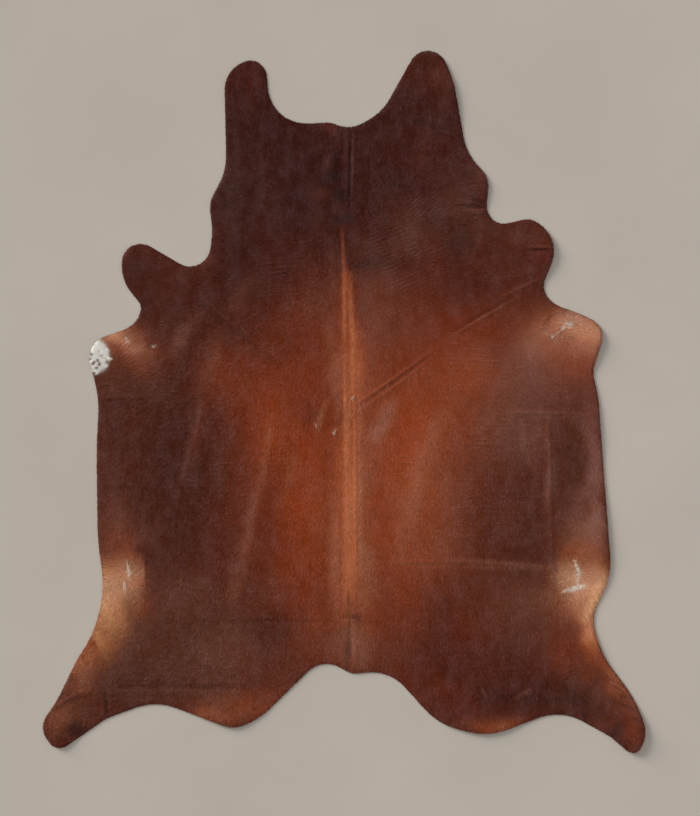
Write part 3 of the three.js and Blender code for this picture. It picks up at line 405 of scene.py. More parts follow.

# Narrow markings from (x1, y1) to (x2, y2), with a half width at each end, bowed by bow to the left of
# that way. A row without a bow is straight. Some are painted shade and painted highlights along creases.
STREAK_COLUMNS = ("name", "x1", "y1", "x2", "y2", "wide1", "wide2", "tone", "strength", "bow")
STREAKS = [
    ("spine band, front", -6, 562, 8, 300, 3, 14, "copper", 0.62),
    ("spine band, shoulders", 5, 430, 18, 40, 20, 24, "copper", 0.7),
    ("spine glow, right", 30, 270, 50, -20, 24, 40, "copper", 0.6),
    ("spine band, back", 26, 90, 23, -690, 27, 27, "copper", 0.85),
    ("spine right sheen", 50, -150, 54, -560, 14, 17, "bloom", 0.21),
    ("spine left sheen", -32, -250, -36, -620, 14, 18, "bloom", 0.18),
    ("spine left bloom", -45, 290, -38, 50, 22, 22, "bloom", 0.21),
    ("spine light left", -1, 430, 3, 190, 5, 5, "tan", 0.4),
    ("spine light left, back", 15, 0, 17, -640, 5, 9, "tan", 0.3),
    ("spine light right", 19, 430, 35, 0, 6, 8, "tan", 0.4),
    ("spine light right, back", 35, 0, 30, -640, 5, 8, "tan", 0.3),
    ("spine dark between", 9, 420, 16, 15, 4, 4, "chestnut", 0.25),
    ("spine dark between, back", 25, -10, 24, -190, 3.5, 3.5, "chestnut", 0.5),
    ("spine dark left lip", -13, -220, -13, -650, 4, 4, "umber", 0.35),
    ("spine dark at the tail", 15, -590, 13, -690, 3, 7, "soot", 0.6),
    ("tail lens", -6, -684, 58, -684, 7.0, 7.0, "umber", 0.9),
    ("tail light line", -14, -697, 40, -696, 3, 3, "tan", 0.7),
    # painted shade in the spine's trough at the rump
    ("spine dark behind", 14, -690, 10, -860, 10, 8, "slate", 0.6),
    # painted shade and painted highlight on the two walls of the crest's crease
    ("crest line", 20, 881, 15, 596, 4.0, 3.8, "soot", 0.62),
    ("crest line light", 30, 877, 26, 660, 3.8, 3.5, "bloom", 0.16),
    ("left shoulder bloom", -451, 310, -537, 130, 24, 21, "bloom", 0.22),
    ("left shoulder bloom, low", -416, 265, -537, -315, 16, 16, "bloom", 0.12, 13),
    ("left withers bloom", -281, 415, -358, 290, 22, 22, "bloom", 0.18),
    ("left throat bloom", -419, 485, -444, 415, 16, 16, "bloom", 0.18),
    ("right long bloom", 314, -10, 176, -505, 30, 36, "lilac", 0.2, -13),
    ("right spine bloom", 167, 25, 90, -135, 24, 24, "bloom", 0.18),
    ("left spine bloom", -70, -30, -83, -110, 13, 13, "bloom", 0.18),
    ("right ribs bloom 1", 650, -30, 672, -360, 14, 14, "bloom", 0.19),
    ("right ribs bloom 2", 608, -50, 589, -215, 19, 19, "bloom", 0.13),
    # painted highlights on the ridges of the loin and rib creases, painted shade in the left ribs'
    # troughs
    ("right loin line", 116, -510, 692, -530, 7, 10, "bloom", 0.18),
    ("right ribs line", 500, -30, 788, -40, 6, 7, "bloom", 0.23),
    ("left ribs line", -784, 0, -620, 0, 10, 10, "soot", 0.2),
    ("left ribs line, back", -780, -275, -620, -275, 8, 8, "soot", 0.15),
    # painted shade in the shoulder creases and painted highlights on their lips
    ("diagonal crease, dark", 20, -31, 298, 164, 6, 5, "umber", 0.3, -3),
    ("diagonal crease, upper light", 26, -14, 292, 174, 4, 4, "bloom", 0.18, -3),
    ("diagonal crease, lower light", 24, -42, 303, 156, 4, 4, "bloom", 0.18, -3),
    ("diagonal crease front, dark", 320, 208, 560, 347, 4.5, 4.5, "soot", 0.35),
    ("diagonal crease front, light", 326, 202, 563, 339, 3.5, 3.5, "bloom", 0.24),
    ("diagonal crease, end", 499, 336, 631, 397, 3.5, 3.5, "bloom", 0.18),
    ("left diagonal dark", -528, 392, -180, 110, 4, 4, "soot", 0.3, -8),
    ("left diagonal light", -521, 398, -175, 117, 3.5, 3.5, "bloom", 0.15, -8),
    # painted shade and painted highlights along the jaw folds and the cheek, foreleg and shank creases
    ("right jaw fold, dark", 397, 649, 458, 634, 4.2, 5.8, "soot", 0.5),
    ("right jaw fold, light", 352, 644, 436, 628, 8.3, 6.4, "bloom", 0.12, -3),
    ("right jaw fold below, light", 340, 618, 448, 605, 5.8, 5.8, "bloom", 0.1, 6),
    ("right jaw fold below, dark", 359, 631, 458, 618, 3.8, 5.1, "soot", 0.42, 6),
    ("right cheek line", 240, 900, 336, 861, 5.8, 5.1, "soot", 0.6),
    ("right foreleg line, dark", 575, 487, 670, 485, 4, 4, "soot", 0.5),
    ("right foreleg line, light", 575, 495, 668, 494, 4, 4, "bloom", 0.18),
    ("left shank line, dark", -790, -909, -285, -916, 5, 5, "soot", 0.24),
    ("left shank line, light", -780, -919, -290, -926, 4, 4, "bloom", 0.15),
    # painted shade in the left flank's notch
    ("left flank notch", -627, -511, -625, -569, 3.2, 3.2, "soot", 0.6),
    ("left flank notch end", -650, -505, -628, -515, 3.5, 3.5, "soot", 0.5),
    ("right flank notch", 679, -520, 683, -548, 4, 4, "soot", 0.5),
    # painted shade of the right armpit's fold and of the left loin's crease
    ("right armpit fold", 628, 232, 662, 282, 4, 5, "soot", 0.5),
    ("left loin line", -460, -703, -3, -697, 4.5, 4.8, "soot", 0.13),
    ("left neck diagonal", -140, 805, -268, 550, 13, 13, "wine", 0.3),
    ("right neck streak", 269, 920, 237, 725, 16, 16, "bloom", 0.1),
    ("left shoulder dark streak", -451, 327, -524, 65, 16.0, 19.2, "umber", 0.35),
    ("left shoulder light streak", -512, 257, -553, 154, 16.0, 16.0, "lilac", 0.18),
    ("left ribs light streak", -390, 247, -422, 45, 16.0, 16.0, "bloom", 0.15),
    ("left long bloom, front", -230, -25, -256, -223, 12.2, 14.4, "lilac", 0.26),
    ("left long bloom, middle", -252, -191, -332, -543, 15.4, 20.8, "lilac", 0.3, -3),
    ("left long bloom, rear", -320, -492, -371, -652, 19.2, 25.6, "bloom", 0.18),
    ("left saddle glint 1", -51, 20, -89, -76, 11.2, 9.6, "bloom", 0.32),
    ("left saddle glint 2", -22, 20, -28, -57, 9.6, 9.6, "bloom", 0.25),
    ("left saddle glint 3", -147, -140, -204, -335, 16.0, 22.4, "bloom", 0.12),
    ("right saddle glint 1", 164, 13, 96, -134, 22.4, 25.6, "lilac", 0.34),
    ("right long bloom, front", 317, -6, 269, -185, 26, 32, "bloom", 0.13, 3),
    ("right long bloom, middle", 276, -153, 186, -435, 32, 34, "bloom", 0.14, 6),
    ("right long bloom, rear", 186, -409, 180, -543, 19.2, 16.0, "bloom", 0.12),
    # painted highlight on the right loin's ridge
    ("right loin light line", 301, -495, 682, -527, 7.0, 7.0, "bloom", 0.27),
    ("spine glow left", -12, -73, -12, -723, 19.2, 25.6, "copper", 0.55),
    ("spine glow right, rear", 71, -441, 71, -678, 25.6, 38.4, "bloom", 0.24),
    ("right ribs upright glint 1", 573, -51, 570, -159, 12.8, 12.8, "bloom", 0.15),
    ("right ribs upright glint 2", 653, -108, 660, -383, 12.8, 16.0, "bloom", 0.15),
    ("left of the crest lilac", -105, 711, -80, 538, 16.0, 16.0, "lilac", 0.06),
    ("left of the spine lilac", -35, 519, -35, 327, 16.0, 16.0, "lilac", 0.18),
    ("right jaw bloom", 276, 602, 455, 609, 11.2, 9.6, "lilac", 0.12),
    ("spine root wing, left", -44, 570, -6, 583, 6.4, 6.4, "soot", 0.6),
    ("spine root wing, right", -9, 583, 16, 602, 6.4, 6.4, "soot", 0.7),
    ("right flank edge cream", 813, -579, 762, -710, 12.8, 12.8, "cream", 0.6),
    # painted shade beside the right ribs' upright ridge
    ("right ribs upright dark", 661, -19, 664, -499, 4.8, 6.1, "soot", 0.22),
    ("right ribs smear 1", 618, -31, 631, -169, 9.6, 12.8, "lilac", 0.1),
    ("right ribs smear 2", 589, -83, 567, -179, 16.0, 19.2, "lilac", 0.08),
    ("right ribs smear 3", 644, -211, 647, -351, 8.0, 9.6, "lilac", 0.2),
    ("right edge smear 1", 810, -204, 730, -377, 16.0, 19.2, "lilac", 0.12),
    ("right edge smear 2", 829, -329, 756, -415, 16.0, 16.0, "lilac", 0.1),
    ("right edge smear 3", 788, -140, 781, -281, 12.8, 12.8, "violet", 0.14),
    ("right edge dark smear", 765, -89, 711, -236, 9.6, 9.6, "umber", 0.22),
    # painted highlight on the left loin's crease and painted shade under the left shin's ridge
    ("left loin line, light", -444, -714, -12, -707, 5.1, 5.1, "bloom", 0.05),
    ("left leg line", -918, -975, -825, -921, 4.2, 4.2, "soot", 0.42, 3),
    ("right rump soft line", 429, -943, 788, -959, 8.3, 8.3, "soot", 0.3, 6),
    ("right rump scratch 1", 436, -902, 458, -947, 4.5, 4.5, "lilac", 0.26),
    ("right rump scratch 2", 602, -911, 538, -953, 5.8, 4.5, "lilac", 0.36),
    ("right shank notch", 765, -988, 772, -1023, 4.2, 4.2, "soot", 0.75),
    ("left ribs lilac 1", -451, 23, -483, -153, 8.0, 11.2, "lilac", 0.2),
    ("left ribs lilac 2", -489, -115, -518, -249, 7.7, 8.3, "lilac", 0.24),
    ("left ribs red", -419, 55, -492, -217, 9.6, 12.8, "chestnut", 0.25),
    # painted shade in the left shank's upright crease
    ("left shank upright", -766, -921, -758, -1014, 4.5, 5.1, "soot", 0.45),
    ("left shank vein 1", -809, -742, -787, -799, 3.5, 3.5, "chestnut", 0.5, 3),
    ("left shank vein 2", -825, -793, -793, -761, 3.5, 3.5, "chestnut", 0.5),
    ("left shank vein 3", -787, -799, -803, -851, 3.5, 3.5, "chestnut", 0.5),
    ("right shank edge tan", 820, -799, 948, -991, 16.0, 16.0, "tan", 0.28),
    ("right shank vein 1", 848, -899, 896, -931, 3.5, 3.5, "soot", 0.42, 3),
    ("right shank vein 2", 877, -937, 932, -950, 3.5, 3.5, "soot", 0.42, 3),
    ("right shank vein 3", 890, -969, 941, -988, 3.5, 3.5, "soot", 0.42, 3),
    ("right shank vein 4", 909, -1004, 951, -1023, 3.5, 3.5, "soot", 0.42, 3),
    ("spine band core", 13, 183, 13, -777, 14.4, 14.4, "tan", 0.43),
    ("spine band, right rim", 48, 183, 48, -649, 11.5, 11.5, "peach", 0.32),
    ("left shank vein 4", -848, -799, -812, -841, 3.2, 3.2, "chestnut", 0.45, 3),
    ("left shank vein 5", -825, -761, -787, -787, 3.2, 3.2, "chestnut", 0.4, 3),
    ("right shank vein 5", 839, -876, 903, -915, 3.2, 3.2, "soot", 0.36, 3),
    ("right shank vein 6", 858, -959, 928, -979, 3.2, 3.2, "soot", 0.36, 3),
    ("right shank grey", 788, -940, 832, -892, 12.8, 12.8, "lilac", 0.12),
    ("right flank dash", 694, -603, 774, -584, 3, 5, "white", 0.85),
    ("right flank strand", 732, -504, 748, -546, 3, 3, "cream", 0.5, 3),
    ("left flank strand", -694, -506, -688, -566, 3, 3, "cream", 0.35),
    # painted shade of the left armpit's fold
    ("left armpit fold", -630, 202, -608, 173, 3.8, 5.1, "soot", 0.35),
]

# The white patch at the left armpit: sign 1 adds white hair and -1 a brown speck in it
WHITE_COLUMNS = ("name", "x", "y", "along", "across", "turn", "sign")
WHITE_PATCH = [
    ("white patch", -787, 150, 50, 36, -8, 1),
    ("white patch tail", -792, 112, 22, 16, 0, 1),
    ("white spike upper", -762, 165, 8, 13, -20, 1),
    ("white spike middle", -757, 141, 6, 17, 12, 1),
    ("white spike lower", -766, 119, 7, 12, 25, 1),
    ("speck 1", -806, 152, 6, 5, 0, -1),
    ("speck 2", -811, 139, 5, 6, 30, -1),
    ("speck 3", -799, 126, 8, 5, 40, -1),
    ("speck 4", -786, 134, 6, 4, -20, -1),
    ("speck 5", -781, 122, 7, 5, 20, -1),
    ("speck 6", -757, 129, 5, 4, 0, -1),
    ("speck 7", -800, 94, 6, 6, 0, -1),
    ("speck 8", -790, 110, 4, 5, 0, -1),
    ("speck 9", -775, 148, 3, 4, 0, -1),
]

# Creases and furrows of the sheet from (x1, y1) to (x2, y2): a soft ridge where rise is positive and
# a trough where it isn't. wide is the half width.
CREASE_COLUMNS = ("name", "x1", "y1", "x2", "y2", "bow", "wide", "rise")
CREASES = [
    ("right shoulder crease, trough", 20, -31, 298, 164, -3, 5, -1.1),
    ("right shoulder crease, upper ridge", 18, -20, 292, 174, -3, 4.5, 1.3),
    ("right shoulder crease, lower ridge", 26, -42, 303, 155, -3, 4.5, 1.2),
    ("right shoulder crease front, trough", 322, 210, 560, 348, 0, 4.5, -1.3),
    ("right shoulder crease front, ridge", 327, 201, 563, 339, 0, 4.5, 1.6),
    ("right shoulder crease, end", 499, 336, 631, 397, 0, 4.5, 1.4),
    ("left shoulder crease", -530, 398, -252, 167, -8, 6, 2.4),
    ("left shoulder crease, trough below", -528, 386, -256, 155, -8, 5, -1.4),
    ("left shoulder crease, faint end", -262, 176, -165, 98, 0, 6, 0.9),
    ("spine behind the neck", 11, 880, 10, 610, 0, 6, 1.3),
    ("spine behind the neck, trough", 22.5, 880, 19, 600, 0, 5, -2.2),
    ("spine on the back, left lip", -6, 560, 10, -680, 6, 6, 0.9),
    ("spine on the back, right lip", 30, 200, 38, -680, 4, 6, 0.9),
    ("spine at the rump", 20, -690, 26, -850, 0, 7, -1.8),
    ("right ribs, front line", 500, -34, 800, -42, 4, 5, 1.8),
    ("right ribs, front trough", 505, -44, 780, -50, 4, 5, -1.0),
    ("right ribs, upright line", 652, -30, 664, -620, 6, 8, 1.6),
    ("right ribs, short line", 355, -134, 548, -138, 0, 5, 1.0),
    ("right loin line", 110, -512, 690, -528, 8, 7, 1.1),
    ("right loin trough", 120, -524, 680, -540, 8, 6, -0.6),
    ("left loin line", -460, -694, -30, -700, 6, 6, 0.8),
    ("left loin trough", -460, -702, -10, -698, 0, 5, -0.9),
    ("loin line over the tail", 0, -694, 130, -698, 0, 5, 1.0),
    ("left rump line", -470, -896, -290, -900, 0, 7, 1.6),
    ("left ribs, front line", -790, 6, -610, 4, 0, 6, -1.4),
    ("left ribs, front ridge", -785, 16, -620, 14, 0, 5, 0.9),
    ("left ribs, back line", -780, -276, -640, -276, 0, 7, -1.2),
    ("right jaw fold, ridge", 365, 645, 440, 634, -3, 8, 1.3),
    ("right jaw fold, trough", 398, 649, 458, 634, 0, 5, -1.9),
    ("right jaw fold below, ridge", 350, 618, 456, 608, -6, 7, 1.2),
    ("right jaw fold below, trough", 358, 633, 458, 620, -6, 5, -1.4),
    ("right jaw line, short", 360, 700, 440, 704, 0, 5, 1.0),
    ("right foreleg line", 575, 486, 672, 484, 0, 4.5, -1.8),
    ("right foreleg ridge", 575, 496, 672, 494, 0, 4.5, 1.2),
    ("left shank fold", -790, -908, -285, -915, 0, 5.5, -1.0),
    ("left shank fold, ridge", -785, -920, -290, -927, 0, 5.5, 1.0),
    ("left shank upright 1", -771, -920, -766, -1005, 0, 4.5, 1.2),
    ("left shank upright 2", -758, -920, -752, -1005, 0, 4.5, -1.3),
    ("left shin line", -930, -985, -800, -920, 8, 8, 2.4),
    ("right shank line", 720, -960, 830, -1020, 5, 8, -1.5),
    ("right leg end line", 790, -1000, 850, -1080, 0, 7, 1.2),
    ("left armpit dimple", -632, 182, -606, 178, 0, 5, -1.6),
    ("right armpit dimple upper", 628, 232, 650, 216, 0, 5, -1.8),
    ("right armpit dimple lower", 628, 230, 654, 248, 0, 5, 1.4),
    ("left flank notch", -628, -506, -626, -575, 0, 5, -2.6),
    ("left flank notch, lip", -638, -510, -636, -570, 0, 6, 2.0),
    ("left long furrow", -205, 0, -335, -640, 12, 32, 0.9),
    ("right long furrow", 310, -10, 175, -500, -12, 34, 0.9),
    ("left shoulder furrow", -450, 300, -540, 120, 0, 24, 1.4),
    ("left belly furrow", -628, -300, -600, -440, 6, 12, -1.2),
    ("right cheek line", 240, 902, 335, 862, 0, 5, -1.5),
]

# Fields of fine skin wrinkles: nearly parallel ripples, pitch apart, that run square to turn
WRINKLE_COLUMNS = ("name", "x", "y", "along", "across", "turn", "pitch", "rise")
WRINKLES = [
    ("left of the withers", -170, 450, 120, 130, -4, 15, 1.2),
    ("left of the neck", -200, 640, 130, 120, 24, 16, 0.84),
    ("right of the withers", 190, 480, 170, 120, -24, 13, 1.56),
    ("right of the neck", 240, 640, 110, 90, -38, 12, 1.56),
    ("left shoulder", -330, 100, 110, 150, 4, 17, 1.3),
    ("left ribs", -480, -20, 150, 200, 2, 16, 1.5),
    ("left ribs, low", -420, -250, 130, 200, -2, 18, 1.3),
    ("left saddle", -190, -200, 180, 90, 0, 18, 0.9),
    ("right shoulder", 420, 100, 130, 170, 3, 16, 1.0),
    ("right ribs", 500, -90, 120, 180, 0, 16, 1.1),
    ("right ribs, low", 480, -320, 140, 190, 0, 18, 1.2),
    ("right saddle", 230, -250, 180, 90, 0, 19, 0.8),
    ("left neck edge", -370, 660, 120, 60, 20, 14, 0.84),
    ("right neck edge", 400, 610, 90, 60, -6, 13, 1.44),
    ("left loin", -350, -620, 90, 240, 3, 20, 1.0),
    ("left rump", -470, -860, 90, 220, 4, 19, 1.0),
    ("right rump", 480, -880, 120, 180, -6, 20, 0.8),
    ("right thigh", 700, -880, 120, 90, -25, 16, 0.78),
    ("right armpit", 715, 235, 60, 90, 12, 11, 1.08),
    ("left armpit", -690, 180, 60, 90, -40, 11, 1.08),
]

# The lie of the hair: around (x, y), over reach, it points the way (dx, dy)
LIE_COLUMNS = ("name", "x", "y", "reach", "dx", "dy")
LIES = [
    ("back, front", 0, 430, 140, 0.0, -1.0),
    ("back, middle", 10, 0, 260, 0.0, -1.0),
    ("back, rear", 20, -500, 260, 0.0, -1.0),
    ("tail", 20, -820, 160, 0.0, -1.0),
    ("crest", 10, 700, 110, 0.0, 1.0),
    ("poll", 0, 860, 140, 0.0, 1.0),
    ("left of the neck", -150, 640, 130, -0.7, 0.6),
    ("right of the neck", 160, 600, 130, 0.8, 0.55),
    ("right of the withers", 290, 480, 130, 0.92, 0.3),
    ("left of the withers", -270, 480, 130, -0.9, 0.25),
    ("left head flap", -310, 950, 200, -0.1, 1.0),
    ("right head flap", 270, 1000, 200, 0.15, 1.0),
    ("left neck edge", -400, 640, 130, -0.9, 0.3),
    ("right neck edge", 420, 640, 130, 0.9, 0.25),
    ("left shoulder", -300, 240, 170, -0.8, -0.55),
    ("right shoulder", 320, 250, 170, 0.85, -0.45),
    ("right shoulder, low", 500, 130, 150, 0.77, -0.64),
    ("left shoulder, low", -480, 110, 150, -0.6, -0.75),
    ("left foreleg", -620, 400, 160, -0.8, 0.35),
    ("right foreleg", 600, 480, 160, 0.9, 0.25),
    ("left armpit", -680, 190, 100, -0.75, 0.5),
    ("left girth", -720, 60, 90, -0.7, -0.6),
    ("left saddle", -220, -220, 240, -0.22, -1.0),
    ("right saddle", 240, -220, 240, 0.22, -1.0),
    ("left ribs", -560, -200, 220, -0.35, -0.93),
    ("right ribs", 600, -200, 220, 0.32, -0.95),
    ("left belly edge", -780, -220, 120, -0.5, -0.85),
    ("right belly edge", 820, -200, 100, 0.5, -0.85),
    ("left loin", -420, -640, 200, -0.3, -0.95),
    ("right loin", 420, -640, 200, 0.3, -0.95),
    ("left rump", -360, -940, 160, -0.2, -1.0),
    ("right rump", 470, -960, 160, 0.25, -1.0),
    ("left thigh", -700, -820, 160, -0.62, -0.78),
    ("right thigh", 760, -800, 160, 0.5, -0.86),
    ("left leg end", -880, -1040, 130, -0.75, -0.66),
    ("right leg end", 880, -1050, 130, 0.66, -0.75),
]

# Whorls, from which the hair fans out over reach, turned by twist degrees
WHORL_COLUMNS = ("name", "x", "y", "reach", "twist")
WHORLS = [
    ("left flank whorl", -700, -552, 105, 18),
    ("right flank whorl", 728, -560, 95, -18),
    ("right armpit whorl", 716, 240, 62, 12),
    ("left armpit whorl", -700, 196, 40, -12),
]

# Pale longer strands at the whorls: a strip from (x1, y1) to (x2, y2) with a half width
STRAND_COLUMNS = ("name", "x1", "y1", "x2", "y2", "wide", "strength")
STRANDS = [
    ("right flank, upper strand", 734, -508, 747, -541, 4, 0.85),
    ("right flank, lower strand", 747, -543, 744, -578, 5, 0.42),
    ("right flank, bright dash", 722, -596, 756, -588, 6.5, 1.3),
    ("right flank, dash ends", 702, -601, 770, -584, 3, 0.9),
    ("right flank, fan right", 746, -553, 815, -569, 30, 0.34),
    ("right flank, fan below", 740, -607, 787, -649, 28, 0.25),
    ("right flank, fan left", 700, -566, 730, -553, 20, 0.28),
    ("left flank, upper strand", -693, -511, -688, -563, 3.5, 0.6),
    ("left flank, middle", -694, -545, -680, -548, 9, 0.35),
    ("left flank, lower strand", -702, -575, -702, -634, 4, 0.42),
    ("left flank, fan right", -686, -530, -664, -538, 17, 0.3),
    ("left flank, fan left", -706, -560, -768, -610, 28, 0.3),
    ("left flank, fan below", -700, -590, -672, -610, 22, 0.32),
    ("right armpit, star", 709, 243, 722, 246, 7, 1.1),
    ("right armpit, arc from the dimple", 634, 230, 666, 213, 3, 0.6),
    ("right armpit, arc to the star", 666, 213, 705, 237, 5, 0.6),
    ("right armpit, above", 716, 285, 717, 255, 12, 0.22),
    ("right armpit, fan right", 730, 247, 813, 228, 22, 0.22),
    ("right armpit, fan below", 679, 205, 749, 221, 14, 0.2),
    ("left armpit strand", -701, 204, -692, 192, 4, 0.9),
    ("left armpit, dimple star", -609, 180, -603, 177, 3.5, 0.9),
    ("spine fleck", 25, 12, 29, 21, 3, 0.9),
    ("left back fleck, upper", -92, -68, -86, -71, 2.5, 0.7),
    ("left back fleck, lower", -31, -98, -26, -86, 3.5, 0.9),
]

# The coat's regions from rump to neck, each grown as one piece between these places along the spine
REGIONS = [
    ("coat_rump", -1200, -600),
    ("coat_loin", -600, -250),
    ("coat_ribs", -250, 100),
    ("coat_shoulders", 100, 480),
    ("coat_neck", 480, 1200),
]
ROOTS_ATTRIBUTE = "roots"

# Markings and the lie of the hair. The white patch and its specks have a firm rim.
RIM_TONE = "wine"
RIM_WIDTH = 5
RIM_SHARE = 0.3
# Each wave of the wander: its length one way and the other, and its size
WANDER_WAVES = ((61, 83, 0.55), (29, 41, 0.35), (13, 19, 0.2))
WANDER_PHASE = 0.01
PATCH_WANDER = 20
PATCH_UNEVEN = 0.18
PATCH_UNEVEN_SCALE = 0.7
STREAK_WANDER = 0.35
STREAK_TAPER = 0.45
WHITE_FIRMNESS = 7
WHITE_REACH = 9
SPECK_SHARE = 0.85
# From the tones, which are as the eye sees them lit, to the hair's own red, green and blue
COAT_DEPTH = (1.075, 0.82, 0.585)
FAR_LIE = 0.02
PALE_FROM = 0.45
PALE_SPAN = 0.4

# Relief and mesh of the sheet
CREASE_TAPER = 0.7
WRINKLE_FADE = 1.3
WRINKLE_BEND = 2.2
WRINKLE_BEND_SCALE = 0.8
EDGE_SMOOTHING = 3
TOP_SMOOTHING = 10
LOW_SMOOTHING = 4
EDGE_ROUND = 9 * MM
EDGE_RELIEF = 0.35
LEAST_DEPTH = 1.2 * MM
POINT_CLEARANCE = 0.62
# An underside's normal has a z below FLAT_SLOPE, and a wall's is nearer to 0 than WALL_SLOPE
FLAT_SLOPE = -0.5
WALL_SLOPE = 0.3

# The fine mesh lies in boxes of low x, high x, low y and high y, at strands and along narrow lines
FINE_BOXES = (
    (-30, 54, -700, 560),
    (-1000, -735, 70, 205),
)
FINE_CREASE = 12
FINE_STREAK = 6
FINE_STRANDS = 0.3
FINE_REACH = 2.2

# Density and length of the hair
WHORL_AREA = 0.035
# x, y and reach of the shorter hair round the white patch
SHORT_AT = (-790, 138, 75)
SHORT_CUT = 0.5
EDGE_CROWD = 1.2
CROWD_REACH = 12 * MM
CROWD_MEAN = 1.04

# Margins on the pieces' maps
MAP_GAP = 12 * MM
WALL_ON_MAP = 4 * MM
LOCK_MARGIN_ALONG = 0.06
LOCK_MARGIN_ACROSS = 0.12

# The hair tree's inputs
HAIR_INPUTS = (
    ("Sheet", "NodeSocketGeometry"),
    ("Density", "NodeSocketFloat"),
    ("Length", "NodeSocketFloat"),
    ("Width", "NodeSocketFloat"),
    ("Lift", "NodeSocketFloat"),
    ("Root Depth", "NodeSocketFloat"),
    ("Roll Height", "NodeSocketFloat"),
    ("Overhang", "NodeSocketFloat"),
    ("Scatter", "NodeSocketFloat"),
    ("Tuft Turn", "NodeSocketFloat"),
    ("Seed", "NodeSocketInt"),
    ("Material", "NodeSocketMaterial"),
)
LOCK_POINTS = 6
LOCK_ASPECT = 2.5
LOCK_LENGTHS = (0.7, 1.2)
LOCK_WIDTHS = (0.7, 1.25)
LOCK_TAPER = 0.86
LOCK_TAPER_POWER = 2.2
TUFT_SCALE = 26.0
LIFT_POWER = 0.6
LEAST_LAYER = 0.45
TIP_DROOP = 0.5 * MM
LEAST_HEIGHT = 0.15 * MM
FALL_FROM = 0.1
FALL_REACH = 0.11

# What the short coat and the whorls' strands give the tree beside the panel's settings
COAT_VALUES = {
    "Tuft Turn": math.radians(30),
    "Overhang": 3.5 * MM,
    "Root Depth": 0.25 * MM,
    "Roll Height": 0.6 * MM,
}
STRAND_VALUES = {
    "Width": 0.5 * MM,
    "Scatter": math.radians(16),
    "Tuft Turn": math.radians(50),
    "Overhang": 2.0 * MM,
    "Root Depth": -0.2 * MM,
    "Roll Height": 0.5 * MM,
    "Seed": 21,
}
STRAND_LIFT = 1.5

# Look of the hair. A scale is in waves to the metre, and a pair is a least and a greatest value.
HAIRS_IN_A_LOCK = 9.0
HAIR_WAVES = 1.4
LOCK_STRIDE = 170.0
LOCK_CONTRAST = 0.05
HAIR_CONTRAST = 0.07
MOTTLE_CONTRAST = 0.10
CLOUD_CONTRAST = 0.10
BRIGHT_LOCK = 0.985
BRIGHT_GAIN = 0.22
ROOT_TO_TIP = (0.90, 1.05)
# Painted glints: a share of the lilac sheen colour mixed into the brighter locks and onto the ripples'
# crests
GLINT_FROM = (0.9, 1.2)
GLINT_SHARE = 0.08
RIPPLE_SHEEN = 60.0
RIPPLE_SHARPNESS = 1.6
RIPPLE_BREAK_SCALE = 34.0
RIPPLE_BREAK = (0.44, 0.62)
# Painted sheen: a share of the sheen colour mixed into the hair where a stretched noise is high
SHEEN_SCALE = 24.0
SHEEN_STRETCH = (1.0, 0.45, 1.0)
SHEEN_FROM = (0.42, 0.72)
SHEEN_SHARE = 0.06
HAIR_GLOSS = 0.05
HAIR_ROUGHNESS = (0.46, 0.62)
HAIR_RELIEF = 0.2 * MM
LEAST_PALE = 0.1
MOST_PALE = 0.95
WHORL_PALE = 0.6
MOTTLE_SCALE = 140.0
CLOUD_SCALE = 26.0
LOWER_COAT_SCALE = 420.0
LOWER_COAT_SHADE = (0.72, 1.0)
LOWER_COAT_ROUGHNESS = (0.55, 0.75)
LOWER_COAT_RELIEF = 0.3 * MM
NOISE_REACH = (0.3, 0.7)

# Stage, in metres. The sensor is in millimetres, as Blender has it.
FLOOR_SIZE = 60.0
FLOOR_LEVEL = -0.0003
KEY_PLACE = (-3.6, 2.8, 1.14)
KEY_SPREAD = math.radians(26)
KEY_COLOR = (1.0, 0.985, 0.96)
SENSOR = 36.0
PICTURE_LENGTH = 2.611
PICTURE_MIDDLE = (0.0195, -0.0186)


class SheetSettings(bpy.types.PropertyGroup):
    leather: FloatProperty(
        name="Leather thickness",
        description="Thickness of the leather at the cut edge",
        default=2.2 * MM,
        min=0.5 * MM,
        unit="LENGTH",
    )
    lower_coat: FloatProperty(
        name="Lower coat",
        description="Depth of the packed hair on the leather, away from the edge",
        default=0.8 * MM,
        min=0.0,
        unit="LENGTH",
    )
    step: FloatProperty(
        name="Mesh step",
        description="Distance between points of the hair side",
        default=7.8 * MM,
        min=4 * MM,
        unit="LENGTH",
    )
    fine_step: FloatProperty(
        name="Fine mesh step",
        description="Distance between points along creases and sharp markings",
        default=3.6 * MM,
        min=2 * MM,
        unit="LENGTH",
    )
    edge_step: FloatProperty(
        name="Edge step",
        description="Distance between points of the cut edge",
        default=5.5 * MM,
        min=3 * MM,
        unit="LENGTH",
    )
    flesh_step: FloatProperty(
        name="Flesh mesh step",
        description="Distance between points of the flesh side",
        default=16 * MM,
        min=8 * MM,
        unit="LENGTH",
    )
    relief: FloatProperty(
        name="Relief",
        description="Strength of the creases and wrinkles",
        default=1.0,
        min=0.0,
        max=2.0,
    )
    flesh_color: FloatVectorProperty(
        name="Flesh side",
        description="Colour of the suede underneath",
        subtype="COLOR",
        size=3,
        default=(0.56, 0.46, 0.34),
        min=0.0,
        max=1.0,
    )
    cut_color: FloatVectorProperty(
        name="Cut edge",
        description="Colour of the raw leather at the cut edge",
        subtype="COLOR",
        size=3,
        default=(0.10, 0.045, 0.030),
        min=0.0,
        max=1.0,
    )


